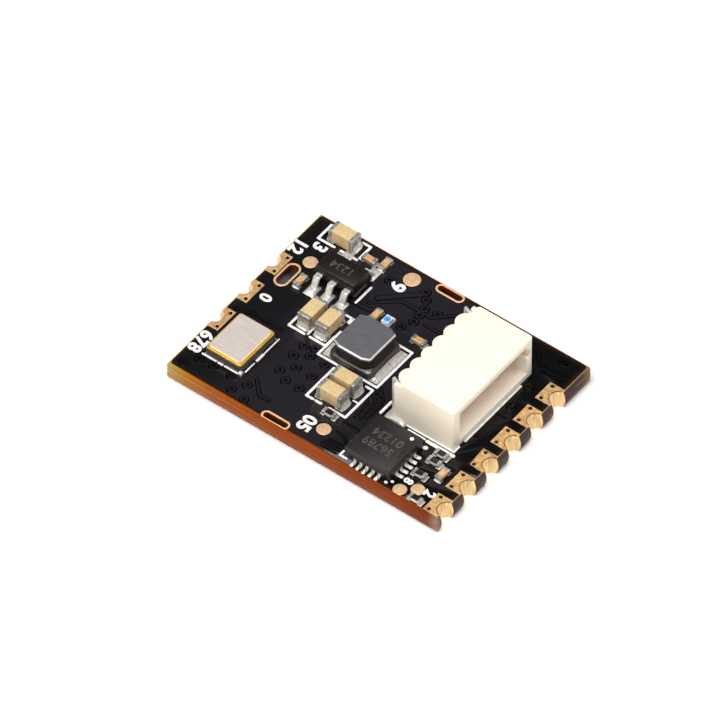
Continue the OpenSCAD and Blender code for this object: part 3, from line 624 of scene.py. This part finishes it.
def chip_parts(node):
    """Middle of the foot, turn about Z, and size along its length, of each chip part in a node."""
    for low, high in solid_boxes(node):
        size = high - low
        turn = 0.0 if size.x > size.y else pi / 2
        if turn:
            size = Vector((size.y, size.x, size.z))
        yield Vector(((low.x + high.x) / 2, (low.y + high.y) / 2, TOP)), turn, size


bm = bmesh.new()
COAT = 0.03 * MM
for node, climb, reach in (("large_capacitor_bodies", 0.45, 0.2), ("small_capacitor_bodies", 0.7, 0.1),
                           ("resistor_bodies", 0.8, 0.08), ("indicator_base", 1.0, 0.1)):
    for index, (foot, turn, size) in enumerate(chip_parts(node)):
        for way in (0, pi):
            spot = (Matrix.Translation(foot) @ Matrix.Rotation(turn + way, 4, "Z")
                    @ Matrix.Translation((size.x / 2 + COAT * 0.6, 0, 0)))
            shape = fillet_shape(reach * MM, size.y + 2 * COAT, size.z * climb, index * 3.1 + way)
            add_lump(bm, spot, shape)

# Feet of the flat chip and of the regulator
chip_low, chip_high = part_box("chip_body")
chip_middle = (chip_low + chip_high) / 2
for index, (low, high) in enumerate(solid_boxes("chip_contacts")):
    middle = (low + high) / 2
    arm = middle - chip_middle
    if abs(arm.x) > abs(arm.y):
        turn = 0.0 if arm.x > 0 else pi
        edge = Vector((high.x if arm.x > 0 else low.x, middle.y, TOP))
        width = high.y - low.y
    else:
        turn = pi / 2 if arm.y > 0 else -pi / 2
        edge = Vector((middle.x, high.y if arm.y > 0 else low.y, TOP))
        width = high.x - low.x
    reach = 0.42 + 0.06 * ripple(middle * 1000, 1, 4.0)
    add_lump(bm, Matrix.Translation(edge) @ Matrix.Rotation(turn, 4, "Z"),
             teardrop_shape(reach * MM, width * 1.5, 0.1 * MM, index * 2.3), 5)
regulator_low, regulator_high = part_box("regulator_body")
for index, (low, high) in enumerate(solid_boxes("regulator_leads")):
    outward = 1 if low.y > (regulator_low.y + regulator_high.y) / 2 - 0.6 * MM else -1
    toe = high.y if outward > 0 else low.y
    middle = Vector(((low.x + high.x) / 2, toe - outward * 0.2 * MM, TOP))
    add_lump(bm, Matrix.Translation(middle) @ Matrix.Rotation(outward * pi / 2, 4, "Z"),
             dome_shape(0.85 * MM, 0.66 * MM, 0.13 * MM, index * 1.3))
    add_lump(bm, Matrix.Translation((middle.x, toe, TOP)) @ Matrix.Rotation(outward * pi / 2, 4, "Z"),
             fillet_shape(0.2 * MM, 0.5 * MM, 0.15 * MM, index * 1.9))
# Ends of the inductor, feet of the socket's contacts and tabs, and a drop at the crystal's corner
coil_low, coil_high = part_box("inductor_terminals")
for way, x in ((0, coil_high.x), (pi, coil_low.x)):
    spot = Vector((x - (0.1 * MM if way == 0 else -0.1 * MM), (coil_low.y + coil_high.y) / 2, TOP))
    add_lump(bm, Matrix.Translation(spot) @ Matrix.Rotation(way, 4, "Z"),
             fillet_shape(0.34 * MM, 2.6 * MM, 0.3 * MM, 7.7 + way), 14)
for index, (low, high) in enumerate(solid_boxes("socket_contacts")):
    spot = Vector((low.x, (low.y + high.y) / 2, TOP))
    add_lump(bm, Matrix.Translation(spot) @ Matrix.Rotation(pi, 4, "Z"),
             fillet_shape(0.2 * MM, 0.42 * MM, 0.16 * MM, index * 2.9))
    add_lump(bm, Matrix.Translation(spot + Vector((0.35 * MM, 0, 0))),
             dome_shape(0.8 * MM, 0.42 * MM, 0.1 * MM, index * 2.1))
for index, (low, high) in enumerate(solid_boxes("socket_tabs")):
    outward = 1 if high.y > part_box("socket_housing")[1].y else -1
    spot = Vector(((low.x + high.x) / 2, (high.y if outward > 0 else low.y) - outward * 0.2 * MM, TOP))
    add_lump(bm, Matrix.Translation(spot), dome_shape(1.25 * MM, 0.55 * MM, 0.16 * MM, index * 5.3))
crystal_low, crystal_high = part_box("crystal_base")
add_lump(bm, Matrix.Translation((crystal_high.x - 0.02 * MM, crystal_low.y + 0.02 * MM, TOP)),
         dome_shape(0.26 * MM, 0.26 * MM, 0.16 * MM, 3.3), 5)
seat(bm, "solder_joints", solder, smooth=60)

# ---- Wire socket ---------------------------------------------------------------
# Side-entry header moulded in natural nylon: cream, waxy and slightly translucent, with five
# formed tin-plated contacts pushed in from the scalloped rear and a hold-down tab at each end.

nylon, tree = new_material("Moulded natural nylon")
place = add(tree, "TexCoord").outputs["Object"]
waxy = add(tree, "TexNoise", {"Scale": 900.0, "Detail": 4.0}, {"Vector": place})
tone = add(tree, "ValToRGB", {"ramp": [(0.35, "#f9eedb"), (0.65, "#fbf1e0")]}, {0: waxy.outputs[0]})
# Low upward faces, the floor of the mouth among them, are painted peach as bounced light would
facing = add(tree, "SeparateXYZ", links={0: add(tree, "NewGeometry").outputs["True Normal"]})
upward = add(tree, "MapRange", {1: 0.3, 2: 0.7}, {0: facing.outputs["Z"]})
low_down = add(tree, "MapRange", {1: TOP + 2.4 * MM, 2: TOP + 2.2 * MM},
               {0: add(tree, "SeparateXYZ", links={0: place}).outputs["Z"]})
inside = add(tree, "Math", {"operation": "MULTIPLY"}, {0: upward.outputs[0], 1: low_down.outputs[0]})
cream = add(tree, "Mix", {"data_type": "RGBA", 7: "#ffeede"}, {0: inside.outputs[0], 6: tone.outputs[0]})
texture = add(tree, "TexNoise", {"Scale": 14000.0, "Detail": 3.0}, {"Vector": place})
bump = add(tree, "Bump", {"Strength": 0.25, "Distance": 0.004 * MM}, {"Height": texture.outputs[0]})
shader = add(tree, "BsdfPrincipled", {"Roughness": 0.48, "Subsurface Weight": 0.2, "IOR": 1.53,
                                      "Subsurface Radius": (1.0, 0.7, 0.45), "Subsurface Scale": 0.2 * MM},
             {"Base Color": cream.outputs[2], "Normal": bump.outputs[0]})
add(tree, "OutputMaterial", links={0: shader.outputs[0]})
seat(soft_copy("socket_housing", 0.05 * MM, 3), "socket_housing_moulding", nylon,
     ["socket_housing"])

# Bright tin over brass or steel: smooth, a little frosted, greyer than the solder.
tin, tree = new_material("Bright tin plate")
place = add(tree, "TexCoord").outputs["Object"]
frost = add(tree, "TexNoise", {"Scale": 3800.0, "Detail": 4.0}, {"Vector": place})
tone = add(tree, "ValToRGB", {"ramp": [(0.3, "#c2bdb6"), (0.7, "#ece8e2")]}, {0: frost.outputs[0]})
bump = add(tree, "Bump", {"Strength": 0.35, "Distance": 0.008 * MM}, {"Height": frost.outputs[0]})
shader = add(tree, "BsdfPrincipled", {"Metallic": 0.6, "Roughness": 0.34},
             {"Base Color": tone.outputs[0], "Normal": bump.outputs[0]})
add(tree, "OutputMaterial", links={0: shader.outputs[0]})
seat(soft_copy("socket_contacts", 0.02 * MM), "socket_contacts_formed", tin, ["socket_contacts"])
seat(soft_copy("socket_tabs", 0.015 * MM), "socket_tabs_formed", tin, ["socket_tabs"])

# ---- Crystal -------------------------------------------------------------------
# A dark ceramic tray with a gilt seal ring, closed by a welded lid of rolled nickel-iron.
# The lid is matt and pinkish grey with faint rolling lines; its cut edge is gilt.

dark_ceramic, tree = new_material("Fired dark ceramic")
place = add(tree, "TexCoord").outputs["Object"]
fired = add(tree, "TexNoise", {"Scale": 7000.0, "Detail": 4.0}, {"Vector": place})
tone = add(tree, "ValToRGB", {"ramp": [(0.3, "#241f1c"), (0.7, "#4a4039")]}, {0: fired.outputs[0]})
bump = add(tree, "Bump", {"Strength": 0.5, "Distance": 0.006 * MM}, {"Height": fired.outputs[0]})
shader = add(tree, "BsdfPrincipled", {"Roughness": 0.5, "IOR": 1.6},
             {"Base Color": tone.outputs[0], "Normal": bump.outputs[0]})
add(tree, "OutputMaterial", links={0: shader.outputs[0]})
seat(soft_copy("crystal_base", 0.02 * MM), "crystal_base_fired", dark_ceramic,
     ["crystal_base"])

seal_gold, tree = new_material("Gilt seal ring")
place = add(tree, "TexCoord").outputs["Object"]
mottle = add(tree, "TexNoise", {"Scale": 4200.0, "Detail": 4.0}, {"Vector": place})
tone = add(tree, "ValToRGB", {"ramp": [(0.3, "#e6ac3e"), (0.7, "#ffd668")]}, {0: mottle.outputs[0]})
bump = add(tree, "Bump", {"Strength": 0.3, "Distance": 0.006 * MM}, {"Height": mottle.outputs[0]})
shader = add(tree, "BsdfPrincipled", {"Metallic": 0.6, "Roughness": 0.3},
             {"Base Color": tone.outputs[0], "Normal": bump.outputs[0]})
add(tree, "OutputMaterial", links={0: shader.outputs[0]})
seat(soft_copy("crystal_seal_ring", 0.022 * MM), "crystal_seal_ring_gilt", seal_gold,
     ["crystal_seal_ring"])

lid_metal, tree = new_material("Rolled nickel-iron sheet")
place = add(tree, "TexCoord").outputs["Object"]
rolled = add(tree, "Mapping", {"Scale": (900, 9000, 900)}, {"Vector": place})
lines = add(tree, "TexNoise", {"Scale": 1.0, "Detail": 5.0}, {"Vector": rolled.outputs[0]})
tone = add(tree, "ValToRGB", {"ramp": [(0.3, "#dccec8"), (0.7, "#eadfda")]}, {0: lines.outputs[0]})
facing = add(tree, "SeparateXYZ", links={0: add(tree, "NewGeometry").outputs["Normal"]})
edge = add(tree, "MapRange", {1: 0.9, 2: 0.6}, {0: facing.outputs["Z"]})
with_edge = add(tree, "Mix", {"data_type": "RGBA", 7: "#ffdf80"}, {0: edge.outputs[0], 6: tone.outputs[0]})
bump = add(tree, "Bump", {"Strength": 0.3, "Distance": 0.004 * MM}, {"Height": lines.outputs[0]})
shader = add(tree, "BsdfPrincipled", {"Metallic": 0.4, "Roughness": 0.42},
             {"Base Color": with_edge.outputs[2], "Normal": bump.outputs[0]})
add(tree, "OutputMaterial", links={0: shader.outputs[0]})
seat(soft_copy("crystal_lid", 0.04 * MM, 1), "crystal_lid_sheet", lid_metal, ["crystal_lid"])

# Sealed inside: a polished quartz plate. Its gilt terminals are under the base.
quartz, tree = new_material("Polished quartz")
place = add(tree, "TexCoord").outputs["Object"]
haze = add(tree, "TexNoise", {"Scale": 2000.0}, {"Vector": place})
tone = add(tree, "ValToRGB", {"ramp": [(0.3, "#d6dfe4"), (0.7, "#eff4f6")]}, {0: haze.outputs[0]})
shader = add(tree, "BsdfPrincipled", {"Roughness": 0.1, "IOR": 1.54, "Transmission Weight": 0.8},
             {"Base Color": tone.outputs[0]})
add(tree, "OutputMaterial", links={0: shader.outputs[0]})
for node, material in (("crystal_blank", quartz), ("crystal_terminals", gold)):
    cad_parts[node].data.materials.clear()
    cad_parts[node].data.materials.append(material)

# ---- Inductor ------------------------------------------------------------------
# A drum of ground grey ferrite wound with enamelled wire; the winding is sealed in dark
# ferrite-filled resin between the two flanges, and the foot stands on two tinned terminals.

ferrite, tree = new_material("Ground ferrite")
place = add(tree, "TexCoord").outputs["Object"]
speck = add(tree, "TexNoise", {"Scale": 9000.0, "Detail": 5.0, "Roughness": 0.7}, {"Vector": place})
ground = add(tree, "Mapping", {"Scale": (1500, 4000, 1500)}, {"Vector": place})
marks = add(tree, "TexNoise", {"Scale": 1.0, "Detail": 4.0}, {"Vector": ground.outputs[0]})
high_part = add(tree, "MapRange", {1: TOP + 0.8 * MM, 2: TOP + 1.0 * MM},
                {0: add(tree, "SeparateXYZ", links={0: place}).outputs["Z"]})
plate = add(tree, "ValToRGB", {"ramp": [(0.3, "#56555a"), (0.7, "#626166")]}, {0: marks.outputs[0]})
foot = add(tree, "ValToRGB", {"ramp": [(0.35, "#1c1613"), (0.65, "#3e342e")]}, {0: speck.outputs[0]})
tone = add(tree, "Mix", {"data_type": "RGBA"},
           {0: high_part.outputs[0], 6: foot.outputs[0], 7: plate.outputs[0]})
# A bright line is painted on the two near chamfers of the upper flange, for their glint
tilt = add(tree, "SeparateXYZ", links={0: add(tree, "NewGeometry").outputs["True Normal"]})
chamfer = add(tree, "MapRange", {1: 0.95, 2: 0.85}, {0: tilt.outputs["Z"]})
raised = add(tree, "MapRange", {1: 0.3, 2: 0.45}, {0: tilt.outputs["Z"]})
toward = add(tree, "Math", {"operation": "SUBTRACT"}, {0: tilt.outputs["X"], 1: tilt.outputs["Y"]})
near = add(tree, "MapRange", {1: 0.2, 2: 0.5}, {0: toward.outputs[0]})
bright = add(tree, "Math", {"operation": "MULTIPLY"}, {0: chamfer.outputs[0], 1: raised.outputs[0]})
bright = add(tree, "Math", {"operation": "MULTIPLY"}, {0: bright.outputs[0], 1: near.outputs[0]})
bright = add(tree, "Math", {"operation": "MULTIPLY"}, {0: bright.outputs[0], 1: high_part.outputs[0]})
tone = add(tree, "Mix", {"data_type": "RGBA", 7: "#e6e4e2"}, {0: bright.outputs[0], 6: tone.outputs[2]})
bump = add(tree, "Bump", {"Strength": 0.2, "Distance": 0.004 * MM}, {"Height": speck.outputs[0]})
shader = add(tree, "BsdfPrincipled", {"Roughness": 0.34, "IOR": 1.9},
             {"Base Color": tone.outputs[2], "Normal": bump.outputs[0]})
add(tree, "OutputMaterial", links={0: shader.outputs[0]})
seat(soft_copy("inductor_core", 0.07 * MM, 1), "inductor_core_ground", ferrite, ["inductor_core"])

resin, tree = new_material("Ferrite-filled resin")
place = add(tree, "TexCoord").outputs["Object"]
grains = add(tree, "TexNoise", {"Scale": 8000.0, "Detail": 5.0}, {"Vector": place})
tone = add(tree, "ValToRGB", {"ramp": [(0.35, "#0e0b0a"), (0.65, "#221c18")]}, {0: grains.outputs[0]})
bump = add(tree, "Bump", {"Strength": 0.7, "Distance": 0.012 * MM}, {"Height": grains.outputs[0]})
shader = add(tree, "BsdfPrincipled", {"Roughness": 0.55},
             {"Base Color": tone.outputs[0], "Normal": bump.outputs[0]})
add(tree, "OutputMaterial", links={0: shader.outputs[0]})
seat(soft_copy("inductor_resin", 0.05 * MM, 3), "inductor_resin_cast", resin,
     ["inductor_resin"])
seat(soft_copy("inductor_terminals", 0.02 * MM), "inductor_terminals_tinned", solder,
     ["inductor_terminals"])
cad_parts["inductor_winding"].data.materials.clear()
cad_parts["inductor_winding"].data.materials.append(copper)

# ---- Regulator and flat chip ---------------------------------------------------
# Both are silicon on a metal frame, moulded in black epoxy with a fine matt skin. The marks are
# engraved by laser as faint grey figures; here they are plain counting figures.

epoxy, tree = new_material("Moulded black epoxy")
place = add(tree, "TexCoord").outputs["Object"]
skin = add(tree, "TexNoise", {"Scale": 11000.0, "Detail": 4.0, "Roughness": 0.7}, {"Vector": place})
clouds = add(tree, "TexNoise", {"Scale": 1200.0, "Detail": 2.0}, {"Vector": place})
tone = add(tree, "ValToRGB", {"ramp": [(0.3, "#110e0d"), (0.7, "#201b1a")]}, {0: skin.outputs[0]})
cloud_tone = add(tree, "ValToRGB", {"ramp": [(0.3, "#c8c8c8"), (0.7, "#ffffff")]}, {0: clouds.outputs[0]})
both = add(tree, "Mix", {"data_type": "RGBA", "blend_type": "MULTIPLY", 0: 1.0},
           {6: tone.outputs[0], 7: cloud_tone.outputs[0]})
bump = add(tree, "Bump", {"Strength": 0.5, "Distance": 0.006 * MM}, {"Height": skin.outputs[0]})
shader = add(tree, "BsdfPrincipled", {"Roughness": 0.5, "IOR": 1.55},
             {"Base Color": both.outputs[2], "Normal": bump.outputs[0]})
add(tree, "OutputMaterial", links={0: shader.outputs[0]})
seat(soft_copy("chip_body", 0.03 * MM, 2), "chip_body_moulding", epoxy, ["chip_body"])

# The regulator's epoxy is browner and a little glossier
brown_epoxy, tree = new_material("Moulded brown-black epoxy")
place = add(tree, "TexCoord").outputs["Object"]
skin = add(tree, "TexNoise", {"Scale": 9000.0, "Detail": 4.0, "Roughness": 0.7}, {"Vector": place})
tone = add(tree, "ValToRGB", {"ramp": [(0.3, "#0c0706"), (0.7, "#1d1210")]}, {0: skin.outputs[0]})
bump = add(tree, "Bump", {"Strength": 0.5, "Distance": 0.006 * MM}, {"Height": skin.outputs[0]})
shader = add(tree, "BsdfPrincipled", {"Roughness": 0.4, "IOR": 1.5},
             {"Base Color": tone.outputs[0], "Normal": bump.outputs[0]})
add(tree, "OutputMaterial", links={0: shader.outputs[0]})
seat(soft_copy("regulator_body", 0.035 * MM, 2), "regulator_body_moulding", brown_epoxy,
     ["regulator_body"])
seat(soft_copy("regulator_leads", 0.03 * MM, 2), "regulator_leads_formed", solder,
     ["regulator_leads"])
seat(soft_copy("chip_contacts", 0.01 * MM), "chip_contacts_tinned", tin, ["chip_contacts"])

engraved, tree = new_material("Laser-engraved epoxy")
place = add(tree, "TexCoord").outputs["Object"]
burnt = add(tree, "TexNoise", {"Scale": 9000.0, "Detail": 4.0}, {"Vector": place})
tone = add(tree, "ValToRGB", {"ramp": [(0.35, "#2c2624"), (0.65, "#5f5650")]}, {0: burnt.outputs[0]})
shader = add(tree, "BsdfPrincipled", {"Roughness": 0.7}, {"Base Color": tone.outputs[0]})
add(tree, "OutputMaterial", links={0: shader.outputs[0]})
MARK_H = 0.004
bm = bmesh.new()
chip_top = (chip_high.z - TOP) / MM
chip_place = ((chip_middle.x - face_corner.x) / MM, (chip_middle.y - face_corner.y) / MM)
for row, shift, words in ((0.42, 0.0, "01234"), (-0.38, 0.1, "56789")):
    add_number(bm, words, (chip_place[0] - shift, chip_place[1] + row), 0.78, 180, MARK_H, chip_top, 0.012)

regulator_middle = (regulator_low + regulator_high) / 2
regulator_place = ((regulator_middle.x - face_corner.x) / MM, (regulator_middle.y - face_corner.y) / MM)
add_number(bm, "1234", regulator_place, 0.75, 180, MARK_H, (regulator_high.z - TOP) / MM, 0.01)
seat(bm, "engraved_figures", engraved)
# Filled dot by the first contact
bm = bmesh.new()
add_strip(bm, (chip_place[0] + 1.04, chip_place[1] + 1.12), (chip_place[0] + 1.06, chip_place[1] + 1.12),
          0.22, 0.034, chip_top - 0.032)
seat(bm, "chip_dot", print_ink)

# Silicon dies and the chip's heat pad, hidden in the mouldings.
silicon, tree = new_material("Ground silicon")
place = add(tree, "TexCoord").outputs["Object"]
cells = add(tree, "TexNoise", {"Scale": 8000.0}, {"Vector": place})
tone = add(tree, "ValToRGB", {"ramp": [(0.3, "#474d58"), (0.7, "#717986")]}, {0: cells.outputs[0]})
shader = add(tree, "BsdfPrincipled", {"Metallic": 0.6, "Roughness": 0.3}, {"Base Color": tone.outputs[0]})
add(tree, "OutputMaterial", links={0: shader.outputs[0]})
for node, material in (("regulator_die", silicon), ("chip_die", silicon), ("chip_heat_pad", tin)):
    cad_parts[node].data.materials.clear()
    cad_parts[node].data.materials.append(material)

# ---- Chip capacitors and resistors ---------------------------------------------
# Capacitors are fired blocks of tan ceramic with dipped metal ends; resistors are white alumina
# with a black glass coat. The ends are tinned, rounded at the corners, and wet with solder.

tan, tree = new_material("Fired tan ceramic")
place = add(tree, "TexCoord").outputs["Object"]
grain = add(tree, "TexNoise", {"Scale": 6500.0, "Detail": 4.0}, {"Vector": place})
tone = add(tree, "ValToRGB", {"ramp": [(0.3, "#ccb07c"), (0.7, "#dcc496")]}, {0: grain.outputs[0]})
bump = add(tree, "Bump", {"Strength": 0.3, "Distance": 0.005 * MM}, {"Height": grain.outputs[0]})
shader = add(tree, "BsdfPrincipled", {"Roughness": 0.42, "IOR": 1.6},
             {"Base Color": tone.outputs[0], "Normal": bump.outputs[0]})
add(tree, "OutputMaterial", links={0: shader.outputs[0]})

brown, tree = new_material("Fired brown ceramic")
place = add(tree, "TexCoord").outputs["Object"]
grain = add(tree, "TexNoise", {"Scale": 6500.0, "Detail": 4.0}, {"Vector": place})
tone = add(tree, "ValToRGB", {"ramp": [(0.3, "#b98852"), (0.7, "#e0b884")]}, {0: grain.outputs[0]})
shader = add(tree, "BsdfPrincipled", {"Roughness": 0.42, "IOR": 1.6}, {"Base Color": tone.outputs[0]})
add(tree, "OutputMaterial", links={0: shader.outputs[0]})

# Dipped metal of the ends: tinned, uneven, duller and more blotched than the solder round it
dipped, tree = new_material("Dipped and tinned ends")
place = add(tree, "TexCoord").outputs["Object"]
blotch = add(tree, "TexNoise", {"Scale": 5200.0, "Detail": 6.0, "Roughness": 0.7}, {"Vector": place})
tone = add(tree, "ValToRGB", {"ramp": [(0.3, "#6f6b66"), (0.5, "#b0aba4"), (0.7, "#e2ddd6")]},
           {0: blotch.outputs[0]})
gloss = add(tree, "MapRange", {1: 0.3, 2: 0.7, 3: 0.24, 4: 0.46}, {0: blotch.outputs[0]})
bump = add(tree, "Bump", {"Strength": 0.7, "Distance": 0.014 * MM}, {"Height": blotch.outputs[0]})
shader = add(tree, "BsdfPrincipled", {"Metallic": 0.6},
             {"Base Color": tone.outputs[0], "Roughness": gloss.outputs[0], "Normal": bump.outputs[0]})
add(tree, "OutputMaterial", links={0: shader.outputs[0]})


def add_rounded_block(bm, matrix, size, radius, wobble=0.0, seed=0.0):
    """A block on its foot, with rounded edges and, if asked, an uneven dipped surface."""
    part = bmesh.new()
    bmesh.ops.create_cube(part, size=1.0, matrix=Matrix.Translation((0, 0, size.z / 2))
                          @ Matrix.Diagonal((size.x, size.y, size.z, 1)))
    bmesh.ops.bevel(part, geom=part.edges[:], offset=radius, offset_type="OFFSET", segments=3,
                    profile=0.5, affect="EDGES", material=-1)
    if wobble:
        bmesh.ops.subdivide_edges(part, edges=[e for e in part.edges if e.calc_length() > radius * 1.5],
                                  cuts=4, use_grid_fill=True)
        middle = Vector((0, 0, size.z / 2))
        for vert in part.verts:
            away = (vert.co - middle).normalized()
            vert.co += away * wobble * ripple(vert.co / size.z * 4, 1, seed)
    bmesh.ops.transform(part, matrix=matrix, verts=part.verts)
    shade_curved(part)
    merge_into(bm, part)


# Kind of part, material and slot of its block, width of its metal bands and radius of their edges
for kind, material, slot, band, radius in (("large_capacitor", tan, "tan_ceramic", 0.25, 0.045),
                                           ("small_capacitor", brown, "brown_ceramic", 0.2, 0.03),
                                           ("resistor", None, "alumina", 0.2, 0.025)):
    bodies, ends = kind + "_bodies", kind + "_ends"
    blocks, caps = bmesh.new(), bmesh.new()
    for index, (foot, turn, size) in enumerate(chip_parts(bodies)):
        spot = Matrix.Translation(foot) @ Matrix.Rotation(turn, 4, "Z")
        add_rounded_block(blocks, spot @ Matrix.Translation((0, 0, COAT)), size, 0.02 * MM)
        for side in (-1, 1):
            cap = Vector((band * MM, size.y + 1.6 * COAT, size.z + 1.6 * COAT))
            shift = side * (size.x / 2 + COAT * 0.9 - cap.x / 2)
            add_rounded_block(caps, spot @ Matrix.Translation((shift, 0, COAT * 0.2)), cap, radius * MM,
                              0.008 * MM, index * 7.3 + side)
    if material:
        seat(blocks, kind + "_blocks", material, [bodies])
    else:
        blocks.free()
    seat(caps, kind + "_dipped_ends", dipped, [ends], smooth=50)

# White alumina of the resistors, and the black glass over it
alumina, tree = new_material("White alumina")
place = add(tree, "TexCoord").outputs["Object"]
grain = add(tree, "TexNoise", {"Scale": 7000.0, "Detail": 3.0}, {"Vector": place})
tone = add(tree, "ValToRGB", {"ramp": [(0.3, "#d3d0c9"), (0.7, "#efece6")]}, {0: grain.outputs[0]})
shader = add(tree, "BsdfPrincipled", {"Roughness": 0.5}, {"Base Color": tone.outputs[0]})
add(tree, "OutputMaterial", links={0: shader.outputs[0]})
seat(soft_copy("resistor_bodies", 0.012 * MM), "resistor_substrates", alumina, ["resistor_bodies"])

black_glass, tree = new_material("Black overglaze")
place = add(tree, "TexCoord").outputs["Object"]
waves = add(tree, "TexNoise", {"Scale": 5000.0, "Detail": 2.0}, {"Vector": place})
tone = add(tree, "ValToRGB", {"ramp": [(0.3, "#0d0d0f"), (0.7, "#232326")]}, {0: waves.outputs[0]})
bump = add(tree, "Bump", {"Strength": 0.3, "Distance": 0.008 * MM}, {"Height": waves.outputs[0]})
shader = add(tree, "BsdfPrincipled", {"Roughness": 0.25}, {"Base Color": tone.outputs[0],
                                                            "Normal": bump.outputs[0]})
add(tree, "OutputMaterial", links={0: shader.outputs[0]})
seat(soft_copy("resistor_coats", 0.01 * MM), "resistor_glass", black_glass, ["resistor_coats"])

# ---- Indicator -----------------------------------------------------------------
# A tiny light: a white resin board with gilt ends under a block of clear bluish epoxy.

white_board, tree = new_material("White resin board")
place = add(tree, "TexCoord").outputs["Object"]
grain = add(tree, "TexNoise", {"Scale": 6000.0, "Detail": 3.0}, {"Vector": place})
tone = add(tree, "ValToRGB", {"ramp": [(0.3, "#dfe6ec"), (0.7, "#f6f9fb")]}, {0: grain.outputs[0]})
shader = add(tree, "BsdfPrincipled", {"Roughness": 0.45}, {"Base Color": tone.outputs[0]})
add(tree, "OutputMaterial", links={0: shader.outputs[0]})
seat(soft_copy("indicator_base", 0.012 * MM), "indicator_board", white_board,
     ["indicator_base"])

lens, tree = new_material("Clear blue epoxy")
place = add(tree, "TexCoord").outputs["Object"]
lens_low, lens_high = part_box("indicator_lens")
from_middle = add(tree, "VectorMath", {"operation": "DISTANCE", 1: (lens_low + lens_high) / 2}, {0: place})
depth = add(tree, "MapRange", {1: 0.12 * MM, 2: 0.3 * MM}, {0: from_middle.outputs["Value"]})
tone = add(tree, "ValToRGB", {"ramp": [(0.0, "#3f88d8"), (0.5, "#7fb4ea"), (1.0, "#e6f0fb")]},
           {0: depth.outputs[0]})
shader = add(tree, "BsdfPrincipled", {"Roughness": 0.18, "Coat Weight": 0.6, "Coat Roughness": 0.1},
             {"Base Color": tone.outputs[0]})
add(tree, "OutputMaterial", links={0: shader.outputs[0]})
seat(soft_copy("indicator_lens", 0.03 * MM, 3), "indicator_window", lens, ["indicator_lens"])
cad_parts["indicator_terminals"].data.materials.clear()
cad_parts["indicator_terminals"].data.materials.append(gold)

# ---- Studio --------------------------------------------------------------------
# A pale table under a wide overhead softbox, with dimmer ones in front and to the right.

scene = bpy.context.scene
scene.view_settings.view_transform = "Standard"
paper, tree = new_material("Pale paper sweep")
place = add(tree, "TexCoord").outputs["Object"]
fibre = add(tree, "TexNoise", {"Scale": 60.0, "Detail": 2.0}, {"Vector": place})
tone = add(tree, "ValToRGB", {"ramp": [(0.0, "#f6f6f6"), (1.0, "#fbfbfb")]}, {0: fibre.outputs[0]})
shader = add(tree, "BsdfPrincipled", {"Roughness": 0.9, "Specular IOR Level": 0.1},
             {"Base Color": tone.outputs[0]})
add(tree, "OutputMaterial", links={0: shader.outputs[0]})
bm = bmesh.new()
bmesh.ops.create_grid(bm, x_segments=1, y_segments=1, size=1.5)
mesh = bpy.data.meshes.new("table")
bm.to_mesh(mesh)
bm.free()
mesh.materials.append(paper)
table = bpy.data.objects.new("table", mesh)
scene.collection.objects.link(table)

world = bpy.data.worlds.new("studio")
world.use_nodes = True
world.node_tree.nodes["Background"].inputs["Color"].default_value = (1.0, 1.0, 1.0, 1.0)
world.node_tree.nodes["Background"].inputs["Strength"].default_value = 0.14
scene.world = world


def add_softbox(name, azimuth, elevation, distance, size, power, colour="#ffffff"):
    """A square softbox aimed at the board, in the same angles as the camera."""
    light = bpy.data.lights.new(name, "AREA")
    light.size = size
    light.energy = power
    light.color = linear(colour)[:3]
    holder = bpy.data.objects.new(name, light)
    a, e = radians(azimuth), radians(elevation)
    away = Vector((sin(a) * cos(e), -cos(a) * cos(e), sin(e)))
    holder.location = away * distance
    holder.rotation_euler = away.to_track_quat("Z", "Y").to_euler()
    scene.collection.objects.link(holder)


add_softbox("overhead", 20, 76, 0.6, 0.45, 4.0)
add_softbox("front", -24, 32, 0.7, 0.35, 1.7, "#fff6ec")
add_softbox("right", 122, 25, 0.7, 0.3, 0.9, "#fff8f2")

# Long lens from the right front corner, looking down
CAMERA_AZIMUTH, CAMERA_ELEVATION = 37.43, 48.5
DISTANCE = 0.83
FRAME_WIDTH = 39.0 * MM
SENSOR = 36.0
a, e = radians(CAMERA_AZIMUTH), radians(CAMERA_ELEVATION)
away = Vector((sin(a) * cos(e), -cos(a) * cos(e), sin(e)))
right = Vector((cos(a), sin(a), 0))
up = away.cross(right)
AIM_LEFT, AIM_UP = 1.013 * MM, 0.238 * MM
aim = Vector((0, 0, TOP)) - right * AIM_LEFT + up * AIM_UP
camera_data = bpy.data.cameras.new("camera")
camera_data.sensor_width = SENSOR
camera_data.lens = SENSOR * DISTANCE / FRAME_WIDTH
camera_data.clip_start = 0.01
camera = bpy.data.objects.new("camera", camera_data)
camera.location = aim + away * DISTANCE
camera.rotation_euler = away.to_track_quat("Z", "Y").to_euler()
scene.collection.objects.link(camera)
scene.camera = camera
